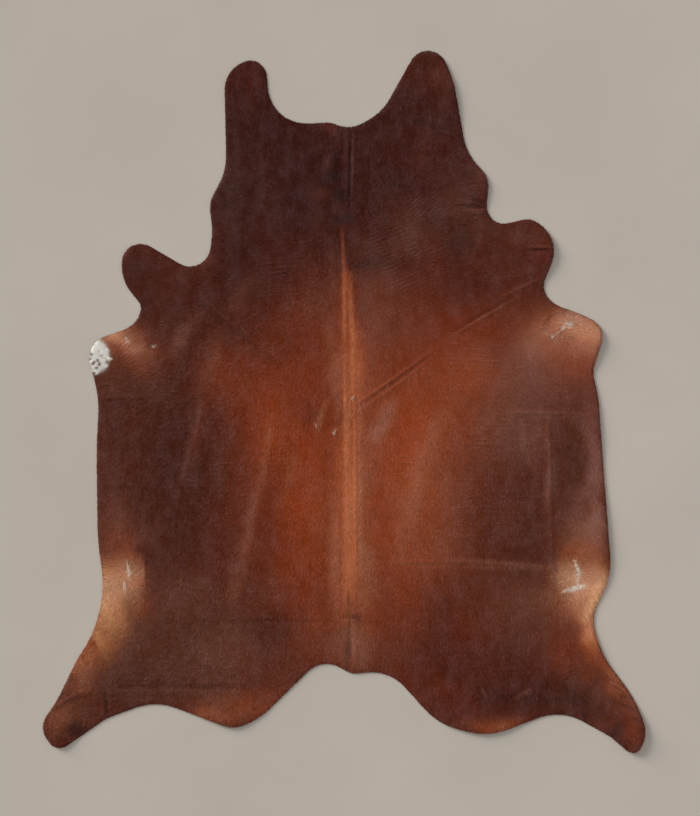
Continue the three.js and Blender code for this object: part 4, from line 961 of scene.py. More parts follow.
class HairSettings(bpy.types.PropertyGroup):
    locks: IntProperty(
        name="Locks",
        description="Number of lying locks of hair over the whole coat",
        default=185000,
        min=1000,
    )
    length: FloatProperty(
        name="Lock length",
        description="Length of a lock of the short coat",
        default=13 * MM,
        min=5 * MM,
        unit="LENGTH",
    )
    width: FloatProperty(
        name="Lock width",
        description="Width of a lock near its root",
        default=2.4 * MM,
        min=0.5 * MM,
        unit="LENGTH",
    )
    lift: FloatProperty(
        name="Lock lift",
        description="Height of a lock's tip over the lower coat",
        default=0.7 * MM,
        min=0.0,
        unit="LENGTH",
    )
    scatter: FloatProperty(
        name="Scatter",
        description="Angle by which neighbouring locks differ in direction",
        default=math.radians(9),
        min=0.0,
        subtype="ANGLE",
    )
    strands: IntProperty(
        name="Whorl strands",
        description="Number of pale longer strands at the whorls",
        default=9000,
        min=0,
    )
    strand_length: FloatProperty(
        name="Whorl strand length",
        description="Length of a pale strand at the whorls",
        default=10 * MM,
        min=5 * MM,
        unit="LENGTH",
    )


class StageSettings(bpy.types.PropertyGroup):
    floor_color: FloatVectorProperty(
        name="Floor",
        description="Colour of the plain floor",
        subtype="COLOR",
        size=3,
        default=(0.445, 0.402, 0.352),
        min=0.0,
        max=1.0,
    )
    camera_height: FloatProperty(
        name="Camera height",
        description="Height of the camera over the floor",
        default=6.0,
        min=2.0,
        unit="LENGTH",
    )
    key_power: FloatProperty(
        name="Key light",
        description="Strength of the broad light from the upper left",
        default=5.2,
        min=0.0,
    )
    sky: FloatProperty(
        name="Surrounding light",
        description="Brightness of the even light from all round",
        default=0.60,
        min=0.0,
    )


class CowhideSettings(bpy.types.PropertyGroup):
    sheet: PointerProperty(type=SheetSettings, name="Sheet", description="The leather and its relief")
    hair: PointerProperty(type=HairSettings, name="Hair", description="The coat and the whorls")
    stage: PointerProperty(type=StageSettings, name="Stage", description="Floor, lights and camera")


# Tables and colours


def rows(columns, table):
    """A table's rows by column. A column that a row leaves out holds its usual value."""
    return [{**USUAL, **dict(zip(columns, row))} for row in table]


def to_linear(srgb):
    srgb = np.asarray(srgb, float) / 255
    return np.where(srgb <= 0.04045, srgb / 12.92, ((srgb + 0.055) / 1.055) ** 2.4)


# Fields over the plan, for arrays of x and y in millimetres


def ellipse(row, x, y):
    """Places along and across an ellipse, in shares of its half sizes."""
    turn = math.radians(row["turn"])
    away_x, away_y = x - row["x"], y - row["y"]
    along = (away_x * math.sin(turn) + away_y * math.cos(turn)) / row["along"]
    across = (away_x * math.cos(turn) - away_y * math.sin(turn)) / row["across"]
    return along, across


def line_place(row, x, y):
    """Share of the way along a bowed line, kept within it, and the distance to its left."""
    run_x, run_y = row["x2"] - row["x1"], row["y2"] - row["y1"]
    length = math.hypot(run_x, run_y)
    away_x, away_y = x - row["x1"], y - row["y1"]
    share = np.clip((away_x * run_x + away_y * run_y) / length**2, 0, 1)
    side = (run_x * away_y - run_y * away_x) / length
    return share, side - row["bow"] * 4 * share * (1 - share)


def wander(x, y, start):
    """A smooth uneven value of about -1 to 1 over the plan, the same in each run."""
    value = np.zeros_like(x)
    for wide, long, size in WANDER_WAVES:
        value += size * np.sin(x / wide + 1.7 * np.sin(y / long + start)) * np.cos(y / wide - start * 2.1)
    return value


def patch_mask(row, x, y):
    """A broad marking with an uneven rim."""
    start = row["x"] * WANDER_PHASE
    x, y = x + PATCH_WANDER * wander(x, y, start), y + PATCH_WANDER * wander(y, x, start + 3)
    along, across = ellipse(row, x, y)
    uneven = 1 + PATCH_UNEVEN * wander(x * PATCH_UNEVEN_SCALE, y * PATCH_UNEVEN_SCALE, start + 1)
    return row["strength"] * uneven * np.exp(-((along**2 + across**2) ** row["edge"]))


def streak_mask(row, x, y):
    """A narrow marking that fades at its ends."""
    share, side = line_place(row, x, y)
    wide = row["wide1"] + (row["wide2"] - row["wide1"]) * share
    side = side + STREAK_WANDER * wide * wander(x, y, row["x1"] * WANDER_PHASE)
    return row["strength"] * np.sin(math.pi * share) ** STREAK_TAPER * np.exp(-((side / wide) ** 2))


def white_share(x, y):
    """1 in the white patch, and 0 outside it and in its brown specks."""
    white = np.zeros_like(x)
    for row in rows(WHITE_COLUMNS, WHITE_PATCH):
        along, across = ellipse(row, x, y)
        past = np.minimum(along**2 + across**2 - 1, WHITE_REACH)
        firm = 1 / (1 + np.exp(past * WHITE_FIRMNESS))
        white = np.maximum(white, firm) if row["sign"] > 0 else white * (1 - SPECK_SHARE * firm)
    return white


def coat_colors(x, y, room):
    """Linear colour of the hair. room is the distance to the cut edge."""
    color = np.tile(np.array(TONES[BASE_TONE], float), (len(x), 1))
    painted = [(row, patch_mask(row, x, y)) for row in rows(PATCH_COLUMNS, PATCHES)]
    painted += [(row, streak_mask(row, x, y)) for row in rows(STREAK_COLUMNS, STREAKS)]
    for row, mask in painted:
        color += mask[:, None] * (np.array(TONES[row["tone"]]) - color)
    rim = RIM_SHARE * np.exp(-((room / RIM_WIDTH) ** 2))
    color += rim[:, None] * (np.array(TONES[RIM_TONE]) - color)
    color = to_linear(color) * COAT_DEPTH
    return color + white_share(x, y)[:, None] * (to_linear(TONES["chalk"]) - color)


def hair_lie(x, y):
    """Unit directions of the hair over the plan."""
    lie = np.zeros((len(x), 2))
    for row in rows(LIE_COLUMNS, LIES):
        far = ((x - row["x"]) ** 2 + (y - row["y"]) ** 2) / row["reach"] ** 2
        way = np.array([row["dx"], row["dy"]]) / math.hypot(row["dx"], row["dy"])
        lie += (np.exp(-far) + FAR_LIE / (1 + far))[:, None] * way
    lie /= np.maximum(np.linalg.norm(lie, axis=1), 1e-6)[:, None]
    for row in rows(WHORL_COLUMNS, WHORLS):
        away = np.stack([x - row["x"], y - row["y"]], axis=1)
        far = np.linalg.norm(away, axis=1)[:, None]
        away /= np.maximum(far, 1e-3)
        turn = math.radians(row["twist"])
        spun_x = away[:, 0] * math.cos(turn) - away[:, 1] * math.sin(turn)
        spun_y = away[:, 0] * math.sin(turn) + away[:, 1] * math.cos(turn)
        pull = np.exp(-((far / row["reach"]) ** 2))
        lie = lie * (1 - pull) + np.stack([spun_x, spun_y], axis=1) * pull
    return lie / np.maximum(np.linalg.norm(lie, axis=1), 1e-6)[:, None]


def strand_share(x, y):
    """How densely the pale strands of the whorls stand at each point."""
    share = np.zeros_like(x)
    for row in rows(STRAND_COLUMNS, STRANDS):
        along, side = line_place(row, x, y)
        gap_x = x - (row["x1"] + (row["x2"] - row["x1"]) * along)
        gap_y = y - (row["y1"] + (row["y2"] - row["y1"]) * along)
        share += row["strength"] * np.exp(-(gap_x**2 + gap_y**2) / row["wide"] ** 2)
    return np.minimum(share, 1)


def crease_heights(x, y):
    """Height of the creases over the smooth coat, in millimetres."""
    height = np.zeros_like(x)
    for row in rows(CREASE_COLUMNS, CREASES):
        share, side = line_place(row, x, y)
        along = np.sin(math.pi * share) ** CREASE_TAPER
        height += row["rise"] * along * np.exp(-((side / row["wide"]) ** 2))
    return height


def wrinkle_waves(x, y):
    """Phase in radians and height in metres of the fine ripples. Where two fields meet, both fade."""
    phase, first, second = np.zeros_like(x), np.zeros_like(x), np.zeros_like(x)
    for row in rows(WRINKLE_COLUMNS, WRINKLES):
        along, across = ellipse(row, x, y)
        strength = row["rise"] * np.exp(-((along**2 + across**2) ** WRINKLE_FADE))
        bend = wander(x * WRINKLE_BEND_SCALE, y * WRINKLE_BEND_SCALE, row["x"] * WANDER_PHASE)
        own = along * row["along"] * math.tau / row["pitch"] + WRINKLE_BEND * bend
        stronger = strength > first
        second = np.maximum(second, np.minimum(strength, first))
        phase = np.where(stronger, own, phase)
        first = np.maximum(first, strength)
    return phase, (first - second) * MM


def needs_fine_mesh(x, y):
    """True along narrow creases and streaks, at the strands, the spine line and the white patch."""
    near = strand_share(x, y) > FINE_STRANDS
    for low_x, high_x, low_y, high_y in FINE_BOXES:
        near |= (x > low_x) & (x < high_x) & (y > low_y) & (y < high_y)
    lines = [(row, row["wide"]) for row in rows(CREASE_COLUMNS, CREASES) if row["wide"] < FINE_CREASE]
    lines += [(row, row["wide1"]) for row in rows(STREAK_COLUMNS, STREAKS) if row["wide1"] < FINE_STREAK]
    for row, wide in lines:
        share, side = line_place(row, x, y)
        run_x, run_y = row["x2"] - row["x1"], row["y2"] - row["y1"]
        past = abs((x - row["x1"]) * run_x + (y - row["y1"]) * run_y)
        length = math.hypot(run_x, run_y)
        within = (share > 0) & (share < 1) & (past / length < length)
        near |= within & (abs(side) < FINE_REACH * wide)
    return near


# The cut edge and the sheet's points


def cad_shape():
    """The solid's mesh with its doubled points merged."""
    shape = bmesh.new()
    shape.from_mesh(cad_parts[HIDE_NODE].data)
    bmesh.ops.remove_doubles(shape, verts=shape.verts, dist=1e-6)
    shape.normal_update()
    shape.verts.ensure_lookup_table()
    return shape


def cut_edge(shape, step):
    """Even points along the solid's lower rim, anticlockwise from above, in metres."""
    beside = {}
    for edge in shape.edges:
        slopes = sorted(face.normal.z for face in edge.link_faces)
        if slopes[0] < FLAT_SLOPE and abs(slopes[1]) < WALL_SLOPE:
            first, second = (vert.index for vert in edge.verts)
            beside.setdefault(first, []).append(second)
            beside.setdefault(second, []).append(first)
    ring, before = [min(beside)], None
    while True:
        ahead = next(i for i in beside[ring[-1]] if i != before)
        if ahead == ring[0]:
            break
        before = ring[-1]
        ring.append(ahead)
    corners = np.array([shape.verts[i].co[:2] for i in ring + ring[:1]])
    length = np.concatenate([[0], np.cumsum(np.hypot(*np.diff(corners, axis=0).T))])
    at = np.linspace(0, length[-1], int(length[-1] / step), endpoint=False)
    edge = np.stack([np.interp(at, length, corners[:, axis]) for axis in (0, 1)], axis=1)
    for _ in range(EDGE_SMOOTHING):
        edge = 0.5 * edge + 0.25 * (np.roll(edge, 1, 0) + np.roll(edge, -1, 0))
    after = np.roll(edge, -1, 0)
    turning = np.sum(edge[:, 0] * after[:, 1] - edge[:, 1] * after[:, 0])
    return edge if turning > 0 else edge[::-1].copy()


def inside(points, edge):
    """Even-odd test of points against the cut edge."""
    result = np.zeros(len(points), bool)
    for (x1, y1), (x2, y2) in zip(edge, np.roll(edge, -1, 0)):
        level = np.nonzero((points[:, 1] >= min(y1, y2)) & (points[:, 1] < max(y1, y2)))[0]
        if len(level):
            crossing = x1 + (points[level, 1] - y1) / (y2 - y1) * (x2 - x1)
            result[level[points[level, 0] < crossing]] ^= True
    return result


def edge_distance(points, edge):
    """Distance from each point to the nearest point of the cut edge."""
    tree = kdtree.KDTree(len(edge))
    for i, (x, y) in enumerate(edge):
        tree.insert((x, y, 0), i)
    tree.balance()
    return np.array([tree.find((x, y, 0))[2] for x, y in points])


def lattice(edge, step):
    """A triangular lattice of points inside the cut edge's rectangle."""
    low, high = edge.min(0), edge.max(0)
    across = np.arange(low[0], high[0], step)
    along = np.arange(low[1], high[1], step * math.sqrt(3) / 2)
    x, y = np.meshgrid(across, along)
    x[1::2] += step / 2
    return np.stack([x.ravel(), y.ravel()], axis=1)


def filled(edge, step, fine_step=None):
    """Points and triangles that fill the cut edge, whose own points come first."""
    points = lattice(edge, step)
    if fine_step:
        fine = lattice(edge, fine_step)
        coarse = points[~needs_fine_mesh(*(points / MM).T)]
        points = np.vstack([coarse, fine[needs_fine_mesh(*(fine / MM).T)]])
    points = points[inside(points, edge)]
    spacing = np.linalg.norm(edge[1] - edge[0])
    points = points[edge_distance(points, edge) > POINT_CLEARANCE * spacing]
    flat = [Vector(point) for point in np.vstack([edge, points])]
    kept, _, triangles, *_ = delaunay_2d_cdt(flat, [], [list(range(len(edge)))], 1, 1e-7)
    return np.array(kept), np.array(triangles)


def lower_side(shape, points):
    """Height of the solid's underside over each point, in metres."""
    tree = BVHTree.FromBMesh(shape)
    heights = np.zeros(len(points))
    for i, (x, y) in enumerate(points):
        hit = tree.ray_cast(Vector((x, y, -0.01)), Vector((0, 0, 1)))[0]
        heights[i] = (hit or tree.find_nearest(Vector((x, y, 0)))[0]).z
    return heights


def smoothed(values, triangles, rounds):
    """Averages each point's value with its neighbours', a number of times."""
    start = triangles.ravel()
    end = np.roll(triangles, -1, axis=1).ravel()
    count = np.bincount(start, minlength=len(values))
    for _ in range(rounds):
        around = np.bincount(start, weights=values[end], minlength=len(values))
        values = 0.5 * values + 0.5 * around / np.maximum(count, 1)
    return values


def ease(share):
    """A share from 0 to 1 that starts and ends gently."""
    share = np.clip(share, 0, 1)
    return share * share * (3 - 2 * share)


# Meshes and objects


def add_point_values(mesh, name, kind, values):
    layer = mesh.attributes.new(name, kind, "POINT")
    key = {"FLOAT": "value", "FLOAT_VECTOR": "vector", "FLOAT_COLOR": "color"}[kind]
    layer.data.foreach_set(key, np.ascontiguousarray(values, dtype=np.float32).ravel())


def point_values(mesh, name, width):
    values = np.empty(len(mesh.vertices) * width, np.float32)
    key = {1: "value", 3: "vector", 4: "color"}[width]
    mesh.attributes[name].data.foreach_get(key, values)
    return values.reshape(-1, width) if width > 1 else values


def with_alpha(color):
    return np.hstack([color, np.ones((len(color), 1))])


def add_object(name, mesh):
    made = bpy.data.objects.new(name, mesh)
    bpy.context.scene.collection.objects.link(made)
    return made


def outward(edge):
    """Unit directions out of the cut edge."""
    run = np.roll(edge, -1, 0) - np.roll(edge, 1, 0)
    way = np.stack([run[:, 1], -run[:, 0]], axis=1)
    return way / np.linalg.norm(way, axis=1)[:, None]


# Materials


class Tree:
    """Short ways to add and join the nodes of one tree."""

    def __init__(self, tree):
        self.tree = tree

    def add(self, kind, inputs=None, **settings):
        node = self.tree.nodes.new(kind)
        for name, value in settings.items():
            setattr(node, name, value)
        for name, value in (inputs or {}).items():
            self.give(node.inputs[name] if isinstance(name, int) else self.open_input(node, name), value)
        return node

    def give(self, socket, value):
        """Links a socket to the value, or sets it where the value is plain."""
        if isinstance(value, bpy.types.NodeSocket):
            self.tree.links.new(value, socket)
        else:
            socket.default_value = value

    @staticmethod
    def open_input(node, name):
        return next(socket for socket in node.inputs if socket.name == name and socket.enabled)

    @staticmethod
    def out(node, name=None):
        return next(s for s in node.outputs if s.enabled and (name is None or s.name == name))

    def math(self, operation, first, second=0.0, third=0.0):
        node = self.add("ShaderNodeMath", {0: first, 1: second, 2: third}, operation=operation)
        return node.outputs[0]

    def mix(self, factor, first, second, blend="MIX"):
        node = self.add("ShaderNodeMix", data_type="RGBA", blend_type=blend)
        for name, value in (("Factor", factor), ("A", first), ("B", second)):
            self.give(self.open_input(node, name), value)
        return self.out(node, "Result")

    def attribute(self, name, output="Fac"):
        return self.out(self.add("ShaderNodeAttribute", attribute_name=name), output)

    def place(self):
        """The point's own place on its object."""
        return self.out(self.add("ShaderNodeTexCoord"), "Object")


def new_material(name):
    material = bpy.data.materials.new(name)
    material.use_nodes = True
    nodes = material.node_tree.nodes
    return material, Tree(material.node_tree), nodes["Principled BSDF"]


def rgba(color):
    return (*color, 1.0)


def tone(name):
    return rgba(to_linear(TONES[name]))


def noise(tree, place, scale, detail=3.0, roughness=0.55):
    node = tree.add(
        "ShaderNodeTexNoise", {"Vector": place, "Scale": scale, "Detail": detail, "Roughness": roughness}
    )
    return tree.out(node)


def spread(tree, value, low, high, to_low, to_high):
    """A value between low and high moved to between two others, and kept there."""
    node = tree.add(
        "ShaderNodeMapRange",
        {"Value": value, "From Min": low, "From Max": high, "To Min": to_low, "To Max": to_high},
    )
    return tree.out(node, "Result")


def swing(tree, value, amount):
    """A noise moved to from minus to plus an amount."""
    return spread(tree, value, *NOISE_REACH, -amount, amount)


def toned(tree, color, value):
    """A colour made brighter or darker by a value about 1."""
    shade = tree.add("ShaderNodeCombineColor", {"Red": value, "Green": value, "Blue": value})
    return tree.mix(1.0, color, shade.outputs[0], "MULTIPLY")


def add_bump(tree, shader, height, distance, strength=1.0):
    bump = tree.add("ShaderNodeBump", {"Height": height, "Distance": distance, "Strength": strength})
    tree.tree.links.new(bump.outputs[0], shader.inputs["Normal"])


def ripple_height(tree, place):
    """The fine wrinkles as a height in metres, broken up along their length."""
    ripple = tree.attribute("ripple", "Vector")
    parts = tree.add("ShaderNodeSeparateXYZ", {0: ripple}).outputs
    wave = tree.math("MAXIMUM", tree.math("COSINE", parts["X"]), 0.0)
    wave = tree.math("MULTIPLY", tree.math("POWER", wave, RIPPLE_SHARPNESS), parts["Y"])
    breaks = spread(tree, noise(tree, place, RIPPLE_BREAK_SCALE), *RIPPLE_BREAK, 0.0, 1.0)
    return tree.math("MULTIPLY", wave, breaks)


def coat_tone(tree, place, coat):
    """The coat's colour with painted grey sheen mixed into it in uneven streaks."""
    stretched = tree.add("ShaderNodeMapping", {"Vector": place, "Scale": SHEEN_STRETCH})
    sheen = noise(tree, stretched.outputs[0], SHEEN_SCALE, 5.0, 0.62)
    share = spread(tree, sheen, *SHEEN_FROM, 0.0, SHEEN_SHARE)
    return tree.mix(share, coat, tone("bloom"))


def hair_material(name, paler=0.0):
    """Locks of hair in the coat's colour. paler mixes in the white of the whorls' long strands."""
    material, tree, shader = new_material(name)
    coat = tree.attribute("coat", "Color")
    shade = tree.attribute("shade")
    along = tree.attribute("along")
    across = tree.attribute("across")
    place = tree.place()
    lock = tree.add(
        "ShaderNodeCombineXYZ",
        {
            "X": tree.math("MULTIPLY", across, HAIRS_IN_A_LOCK),
            "Y": tree.math("MULTIPLY", along, HAIR_WAVES),
            "Z": tree.math("MULTIPLY", shade, LOCK_STRIDE),
        },
    )
    hairs = noise(tree, tree.out(lock), 1.0, 1.0)
    mottle = noise(tree, place, MOTTLE_SCALE, 4.0, 0.6)
    clouds = noise(tree, place, CLOUD_SCALE, 3.0, 0.5)
    value = tree.math(
        "ADD",
        spread(tree, shade, 0, 1, 1 - LOCK_CONTRAST, 1 + LOCK_CONTRAST),
        spread(tree, hairs, 0.25, 0.75, -HAIR_CONTRAST, HAIR_CONTRAST),
    )
    value = tree.math("ADD", value, swing(tree, mottle, MOTTLE_CONTRAST))
    value = tree.math("ADD", value, swing(tree, clouds, CLOUD_CONTRAST))
    bright = tree.math("GREATER_THAN", shade, BRIGHT_LOCK)
    value = tree.math("ADD", value, tree.math("MULTIPLY", bright, BRIGHT_GAIN))
    value = tree.math("MULTIPLY", value, spread(tree, along, 0, 1, *ROOT_TO_TIP))
    ripples = ripple_height(tree, place)
    # painted glints on the brighter locks and on the ripples' crests
    glint = spread(tree, value, *GLINT_FROM, 0.0, GLINT_SHARE)
    glint = tree.math("MULTIPLY_ADD", ripples, RIPPLE_SHEEN, glint)
    color = tree.mix(glint, toned(tree, coat_tone(tree, place, coat), value), tone("lilac"))
    if paler:
        pale = tree.attribute("pale")
        share = tree.math("ADD", pale, spread(tree, shade, 0, 1, LEAST_PALE, paler))
        tint = tree.mix(pale, tone("cream"), tone("white"))
        color = tree.mix(tree.math("MINIMUM", share, MOST_PALE), color, tint)
    tree.give(shader.inputs["Base Color"], color)
    tree.give(shader.inputs["Roughness"], spread(tree, hairs, 0.2, 0.8, *HAIR_ROUGHNESS))
    shader.inputs["Specular IOR Level"].default_value = HAIR_GLOSS
    add_bump(tree, shader, tree.math("MULTIPLY_ADD", hairs, HAIR_RELIEF, ripples), 1.0)
    return material


def lower_coat_material():
    """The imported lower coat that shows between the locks."""
    material, tree, shader = new_material("lower_coat")
    coat = tree.attribute("coat", "Color")
    place = tree.place()
    fine = noise(tree, place, LOWER_COAT_SCALE, 2.0)
    mottle = noise(tree, place, MOTTLE_SCALE, 4.0, 0.6)
    value = spread(tree, fine, *NOISE_REACH, *LOWER_COAT_SHADE)
    value = tree.math("ADD", value, swing(tree, mottle, MOTTLE_CONTRAST))
    tree.give(shader.inputs["Base Color"], toned(tree, coat_tone(tree, place, coat), value))
    tree.give(shader.inputs["Roughness"], spread(tree, fine, *NOISE_REACH, *LOWER_COAT_ROUGHNESS))
    shader.inputs["Specular IOR Level"].default_value = HAIR_GLOSS
    height = tree.math("MULTIPLY_ADD", fine, LOWER_COAT_RELIEF, ripple_height(tree, place))
    add_bump(tree, shader, height, 1.0)
    return material


def flesh_material(settings):
    """Pale suede with faint stains, soft vein lines and nap."""
    material, tree, shader = new_material("suede_flesh_side")
    place = tree.place()
    nap = noise(tree, place, 900.0, 2.0, 0.7)
    grain = noise(tree, place, 130.0, 4.0, 0.65)
    stains = noise(tree, place, 5.0, 5.0, 0.55)
    waves = {"Vector": place, "Scale": 2.2, "Distortion": 14.0, "Detail": 3.0}
    veins = tree.out(tree.add("ShaderNodeTexWave", waves), "Fac")
    value = tree.math("ADD", spread(tree, nap, *NOISE_REACH, 0.90, 1.05), swing(tree, grain, 0.08))
    value = tree.math("ADD", value, spread(tree, stains, 0.35, 0.7, 0.05, -0.18))
    value = tree.math("ADD", value, spread(tree, veins, 0.0, 0.12, -0.06, 0.0))
    tree.give(shader.inputs["Base Color"], toned(tree, rgba(settings.flesh_color), value))
    shader.inputs["Roughness"].default_value = 0.92
    shader.inputs["Specular IOR Level"].default_value = 0.2
    height = tree.math("ADD", tree.math("MULTIPLY", nap, 0.5), grain)
    add_bump(tree, shader, height, 0.5 * MM, 0.7)
    return material


def cut_material(settings):
    """The knife-cut edge of the leather, dyed dark, with its fibres in layers."""
    material, tree, shader = new_material("cut_leather_edge")
    squashed = tree.add("ShaderNodeMapping", {"Vector": tree.place(), "Scale": (60.0, 60.0, 900.0)})
    layers = noise(tree, squashed.outputs[0], 1.0, 4.0, 0.6)
    value = spread(tree, layers, *NOISE_REACH, 0.75, 1.25)
    tree.give(shader.inputs["Base Color"], toned(tree, rgba(settings.cut_color), value))
    shader.inputs["Roughness"].default_value = 0.75
    shader.inputs["Specular IOR Level"].default_value = 0.25
    add_bump(tree, shader, layers, 0.3 * MM, 0.6)
    return material


def floor_material(settings):
    """A plain pale floor, hardly mottled."""
    material, tree, shader = new_material("plain_floor")
    place = tree.place()
    clouds = noise(tree, place, 1.6, 5.0, 0.55)
    value = spread(tree, clouds, *NOISE_REACH, 0.96, 1.04)
    tree.give(shader.inputs["Base Color"], toned(tree, rgba(settings.floor_color), value))
    shader.inputs["Roughness"].default_value = 0.9
    shader.inputs["Specular IOR Level"].default_value = 0.1
    return material


# The coat as a Geometry Nodes tree


def hair_tree():
    """Lays flat tapered locks along the sheet, each following the relief underneath it."""
    group = bpy.data.node_groups.new("lying_hair", "GeometryNodeTree")
    for name, kind in HAIR_INPUTS:
        group.interface.new_socket(name, in_out="INPUT", socket_type=kind)
    group.interface.new_socket("Hair", in_out="OUTPUT", socket_type="NodeSocketGeometry")
    tree = Tree(group)
    given = tree.add("NodeGroupInput").outputs
    result = tree.add("NodeGroupOutput")

    def named(name, kind="FLOAT"):
        node = tree.add("GeometryNodeInputNamedAttribute", {"Name": name}, data_type=kind)
        return tree.out(node, "Attribute")

    def random(low, high, extra):
        seed = tree.math("ADD", given["Seed"], float(extra))
        reach = {"Min": low, "Max": high, "Seed": seed}
        return tree.out(tree.add("FunctionNodeRandomValue", reach, data_type="FLOAT"))

    def store(geometry, name, value, kind="FLOAT"):
        node = tree.add(
            "GeometryNodeStoreNamedAttribute",
            {"Geometry": geometry, "Name": name, "Value": value},
            data_type=kind,
            domain="POINT",
        )
        return node.outputs[0]

    def moved(geometry, to):
        node = tree.add("GeometryNodeSetPosition", {"Geometry": geometry, "Position": to})
        return node.outputs[0]

    density = tree.math("MULTIPLY", given["Density"], named("crowd"))
    density = tree.math("MULTIPLY", density, named(ROOTS_ATTRIBUTE))
    roots = tree.add(
        "GeometryNodeDistributePointsOnFaces",
        {"Mesh": given["Sheet"], "Density": density, "Seed": given["Seed"]},
        distribute_method="RANDOM",
    )
    place = tree.add("GeometryNodeInputPosition").outputs[0]
    parts = tree.add("ShaderNodeSeparateXYZ", {0: place}).outputs
    points = store(tree.out(roots, "Points"), "root_height", parts["Z"])
    points = store(points, "shade", random(0.0, 1.0, 1))
    points = store(points, "roll", random(-1.0, 1.0, 2))
    points = store(points, "layer", random(0.0, 1.0, 3))

    lie = tree.add("ShaderNodeSeparateXYZ", {0: named("lie", "FLOAT_VECTOR")}).outputs
    heading = tree.math("ARCTAN2", lie["Y"], lie["X"])
    tufts = tree.add("ShaderNodeTexNoise", {"Vector": place, "Scale": TUFT_SCALE, "Detail": 2.0})
    tuft_turn = tree.math("MULTIPLY", tree.math("SUBTRACT", tree.out(tufts), 0.5), given["Tuft Turn"])
    own_turn = tree.math("MULTIPLY", given["Scatter"], random(-1.0, 1.0, 4))
    heading = tree.math("ADD", heading, tree.math("ADD", tuft_turn, own_turn))
    turn = tree.add("ShaderNodeCombineXYZ", {"Z": heading})
    full = tree.math("MULTIPLY", given["Length"], random(*LOCK_LENGTHS, 5))
    full = tree.math("MULTIPLY", full, named("short"))
    fitting = tree.math("ADD", named("room"), given["Overhang"])
    length = tree.math("MINIMUM", full, fitting)
    width = tree.math("MULTIPLY", given["Width"], random(*LOCK_WIDTHS, 6))
    size = tree.add("ShaderNodeCombineXYZ", {"X": length, "Y": width, "Z": 1.0})

    grid = {"Size X": 1.0, "Size Y": 1.0, "Vertices X": 3, "Vertices Y": 2}
    blade = tree.add("GeometryNodeMeshGrid", grid)
    blade_parts = tree.add("ShaderNodeSeparateXYZ", {0: place}).outputs
    along = tree.math("ADD", blade_parts["X"], 0.5)
    across = blade_parts["Y"]
    blade = store(tree.out(blade, "Mesh"), "along", along)
    blade = store(blade, "across", tree.math("ADD", across, 0.5))
    narrowing = tree.math("MULTIPLY", tree.math("POWER", along, LOCK_TAPER_POWER), LOCK_TAPER)
    taper = tree.math("SUBTRACT", 1.0, narrowing)
    tapered = tree.add("ShaderNodeCombineXYZ", {"X": along, "Y": tree.math("MULTIPLY", across, taper)})
    blade = moved(blade, tapered.outputs[0])

    locks = tree.add(
        "GeometryNodeInstanceOnPoints",
        {"Points": points, "Instance": blade, "Rotation": turn.outputs[0], "Scale": size.outputs[0]},
    )
    laid = tree.add("GeometryNodeRealizeInstances", {0: locks.outputs[0]}).outputs[0]

    over = tree.add("ShaderNodeCombineXYZ", {"X": parts["X"], "Y": parts["Y"], "Z": FALL_FROM})
    fall = tree.add(
        "GeometryNodeRaycast",
        {
            "Target Geometry": given["Sheet"],
            "Attribute": named("ripple", "FLOAT_VECTOR"),
            "Source Position": over.outputs[0],
            "Ray Direction": (0.0, 0.0, -1.0),
            "Ray Length": FALL_REACH,
        },
        data_type="FLOAT_VECTOR",
    )
    ground = tree.add("ShaderNodeSeparateXYZ", {0: tree.out(fall, "Hit Position")}).outputs["Z"]
    tip_way = named("along")
    drooping = tree.math("SUBTRACT", named("root_height"), tree.math("MULTIPLY", tip_way, TIP_DROOP))
    landed = tree.add(
        "GeometryNodeSwitch",
        {"Switch": tree.out(fall, "Is Hit"), "False": drooping, "True": ground},
        input_type="FLOAT",
    )
    rise = tree.math("MULTIPLY", tree.math("POWER", tip_way, LIFT_POWER), given["Lift"])
    layer = tree.math("MULTIPLY_ADD", named("layer"), 1 - LEAST_LAYER, LEAST_LAYER)
    rise = tree.math("MULTIPLY", rise, layer)
    sink = tree.math("SUBTRACT", rise, given["Root Depth"])
    side = tree.math("MULTIPLY", tree.math("SUBTRACT", named("across"), 0.5), named("roll"))
    tilt = tree.math("MULTIPLY", side, given["Roll Height"])
    height = tree.math("ADD", tree.math("ADD", landed.outputs[0], sink), tilt)
    height = tree.math("MAXIMUM", height, LEAST_HEIGHT)
    settled = tree.add("ShaderNodeCombineXYZ", {"X": parts["X"], "Y": parts["Y"], "Z": height})
    laid = store(laid, "ripple", tree.out(fall, "Attribute"), "FLOAT_VECTOR")
    laid = moved(laid, settled.outputs[0])
    finished = tree.add("GeometryNodeSetMaterial", {"Geometry": laid, "Material": given["Material"]})
    group.links.new(finished.outputs[0], result.inputs[0])
    return group


def grow_hair(name, sheet, values):
    """Runs the hair tree on the sheet's mesh and returns its result as a plain piece."""
    carrier = add_object(name + "_roots", sheet.data)
    modifier = carrier.modifiers.new("hair", "NODES")
    modifier.node_group = bpy.data.node_groups.get("lying_hair") or hair_tree()
    for item in modifier.node_group.interface.items_tree:
        if item.in_out == "INPUT" and item.name in values:
            modifier[item.identifier] = values[item.name]
    graph = bpy.context.evaluated_depsgraph_get()
    mesh = bpy.data.meshes.new_from_object(carrier.evaluated_get(graph), depsgraph=graph)
    bpy.data.objects.remove(carrier)
    mesh.name = name
    piece = add_object(name, mesh)
    if not mesh.polygons:
        raise RuntimeError(f"no hair grew for {name}")
    map_locks(mesh)
    mesh.shade_smooth()
    return piece


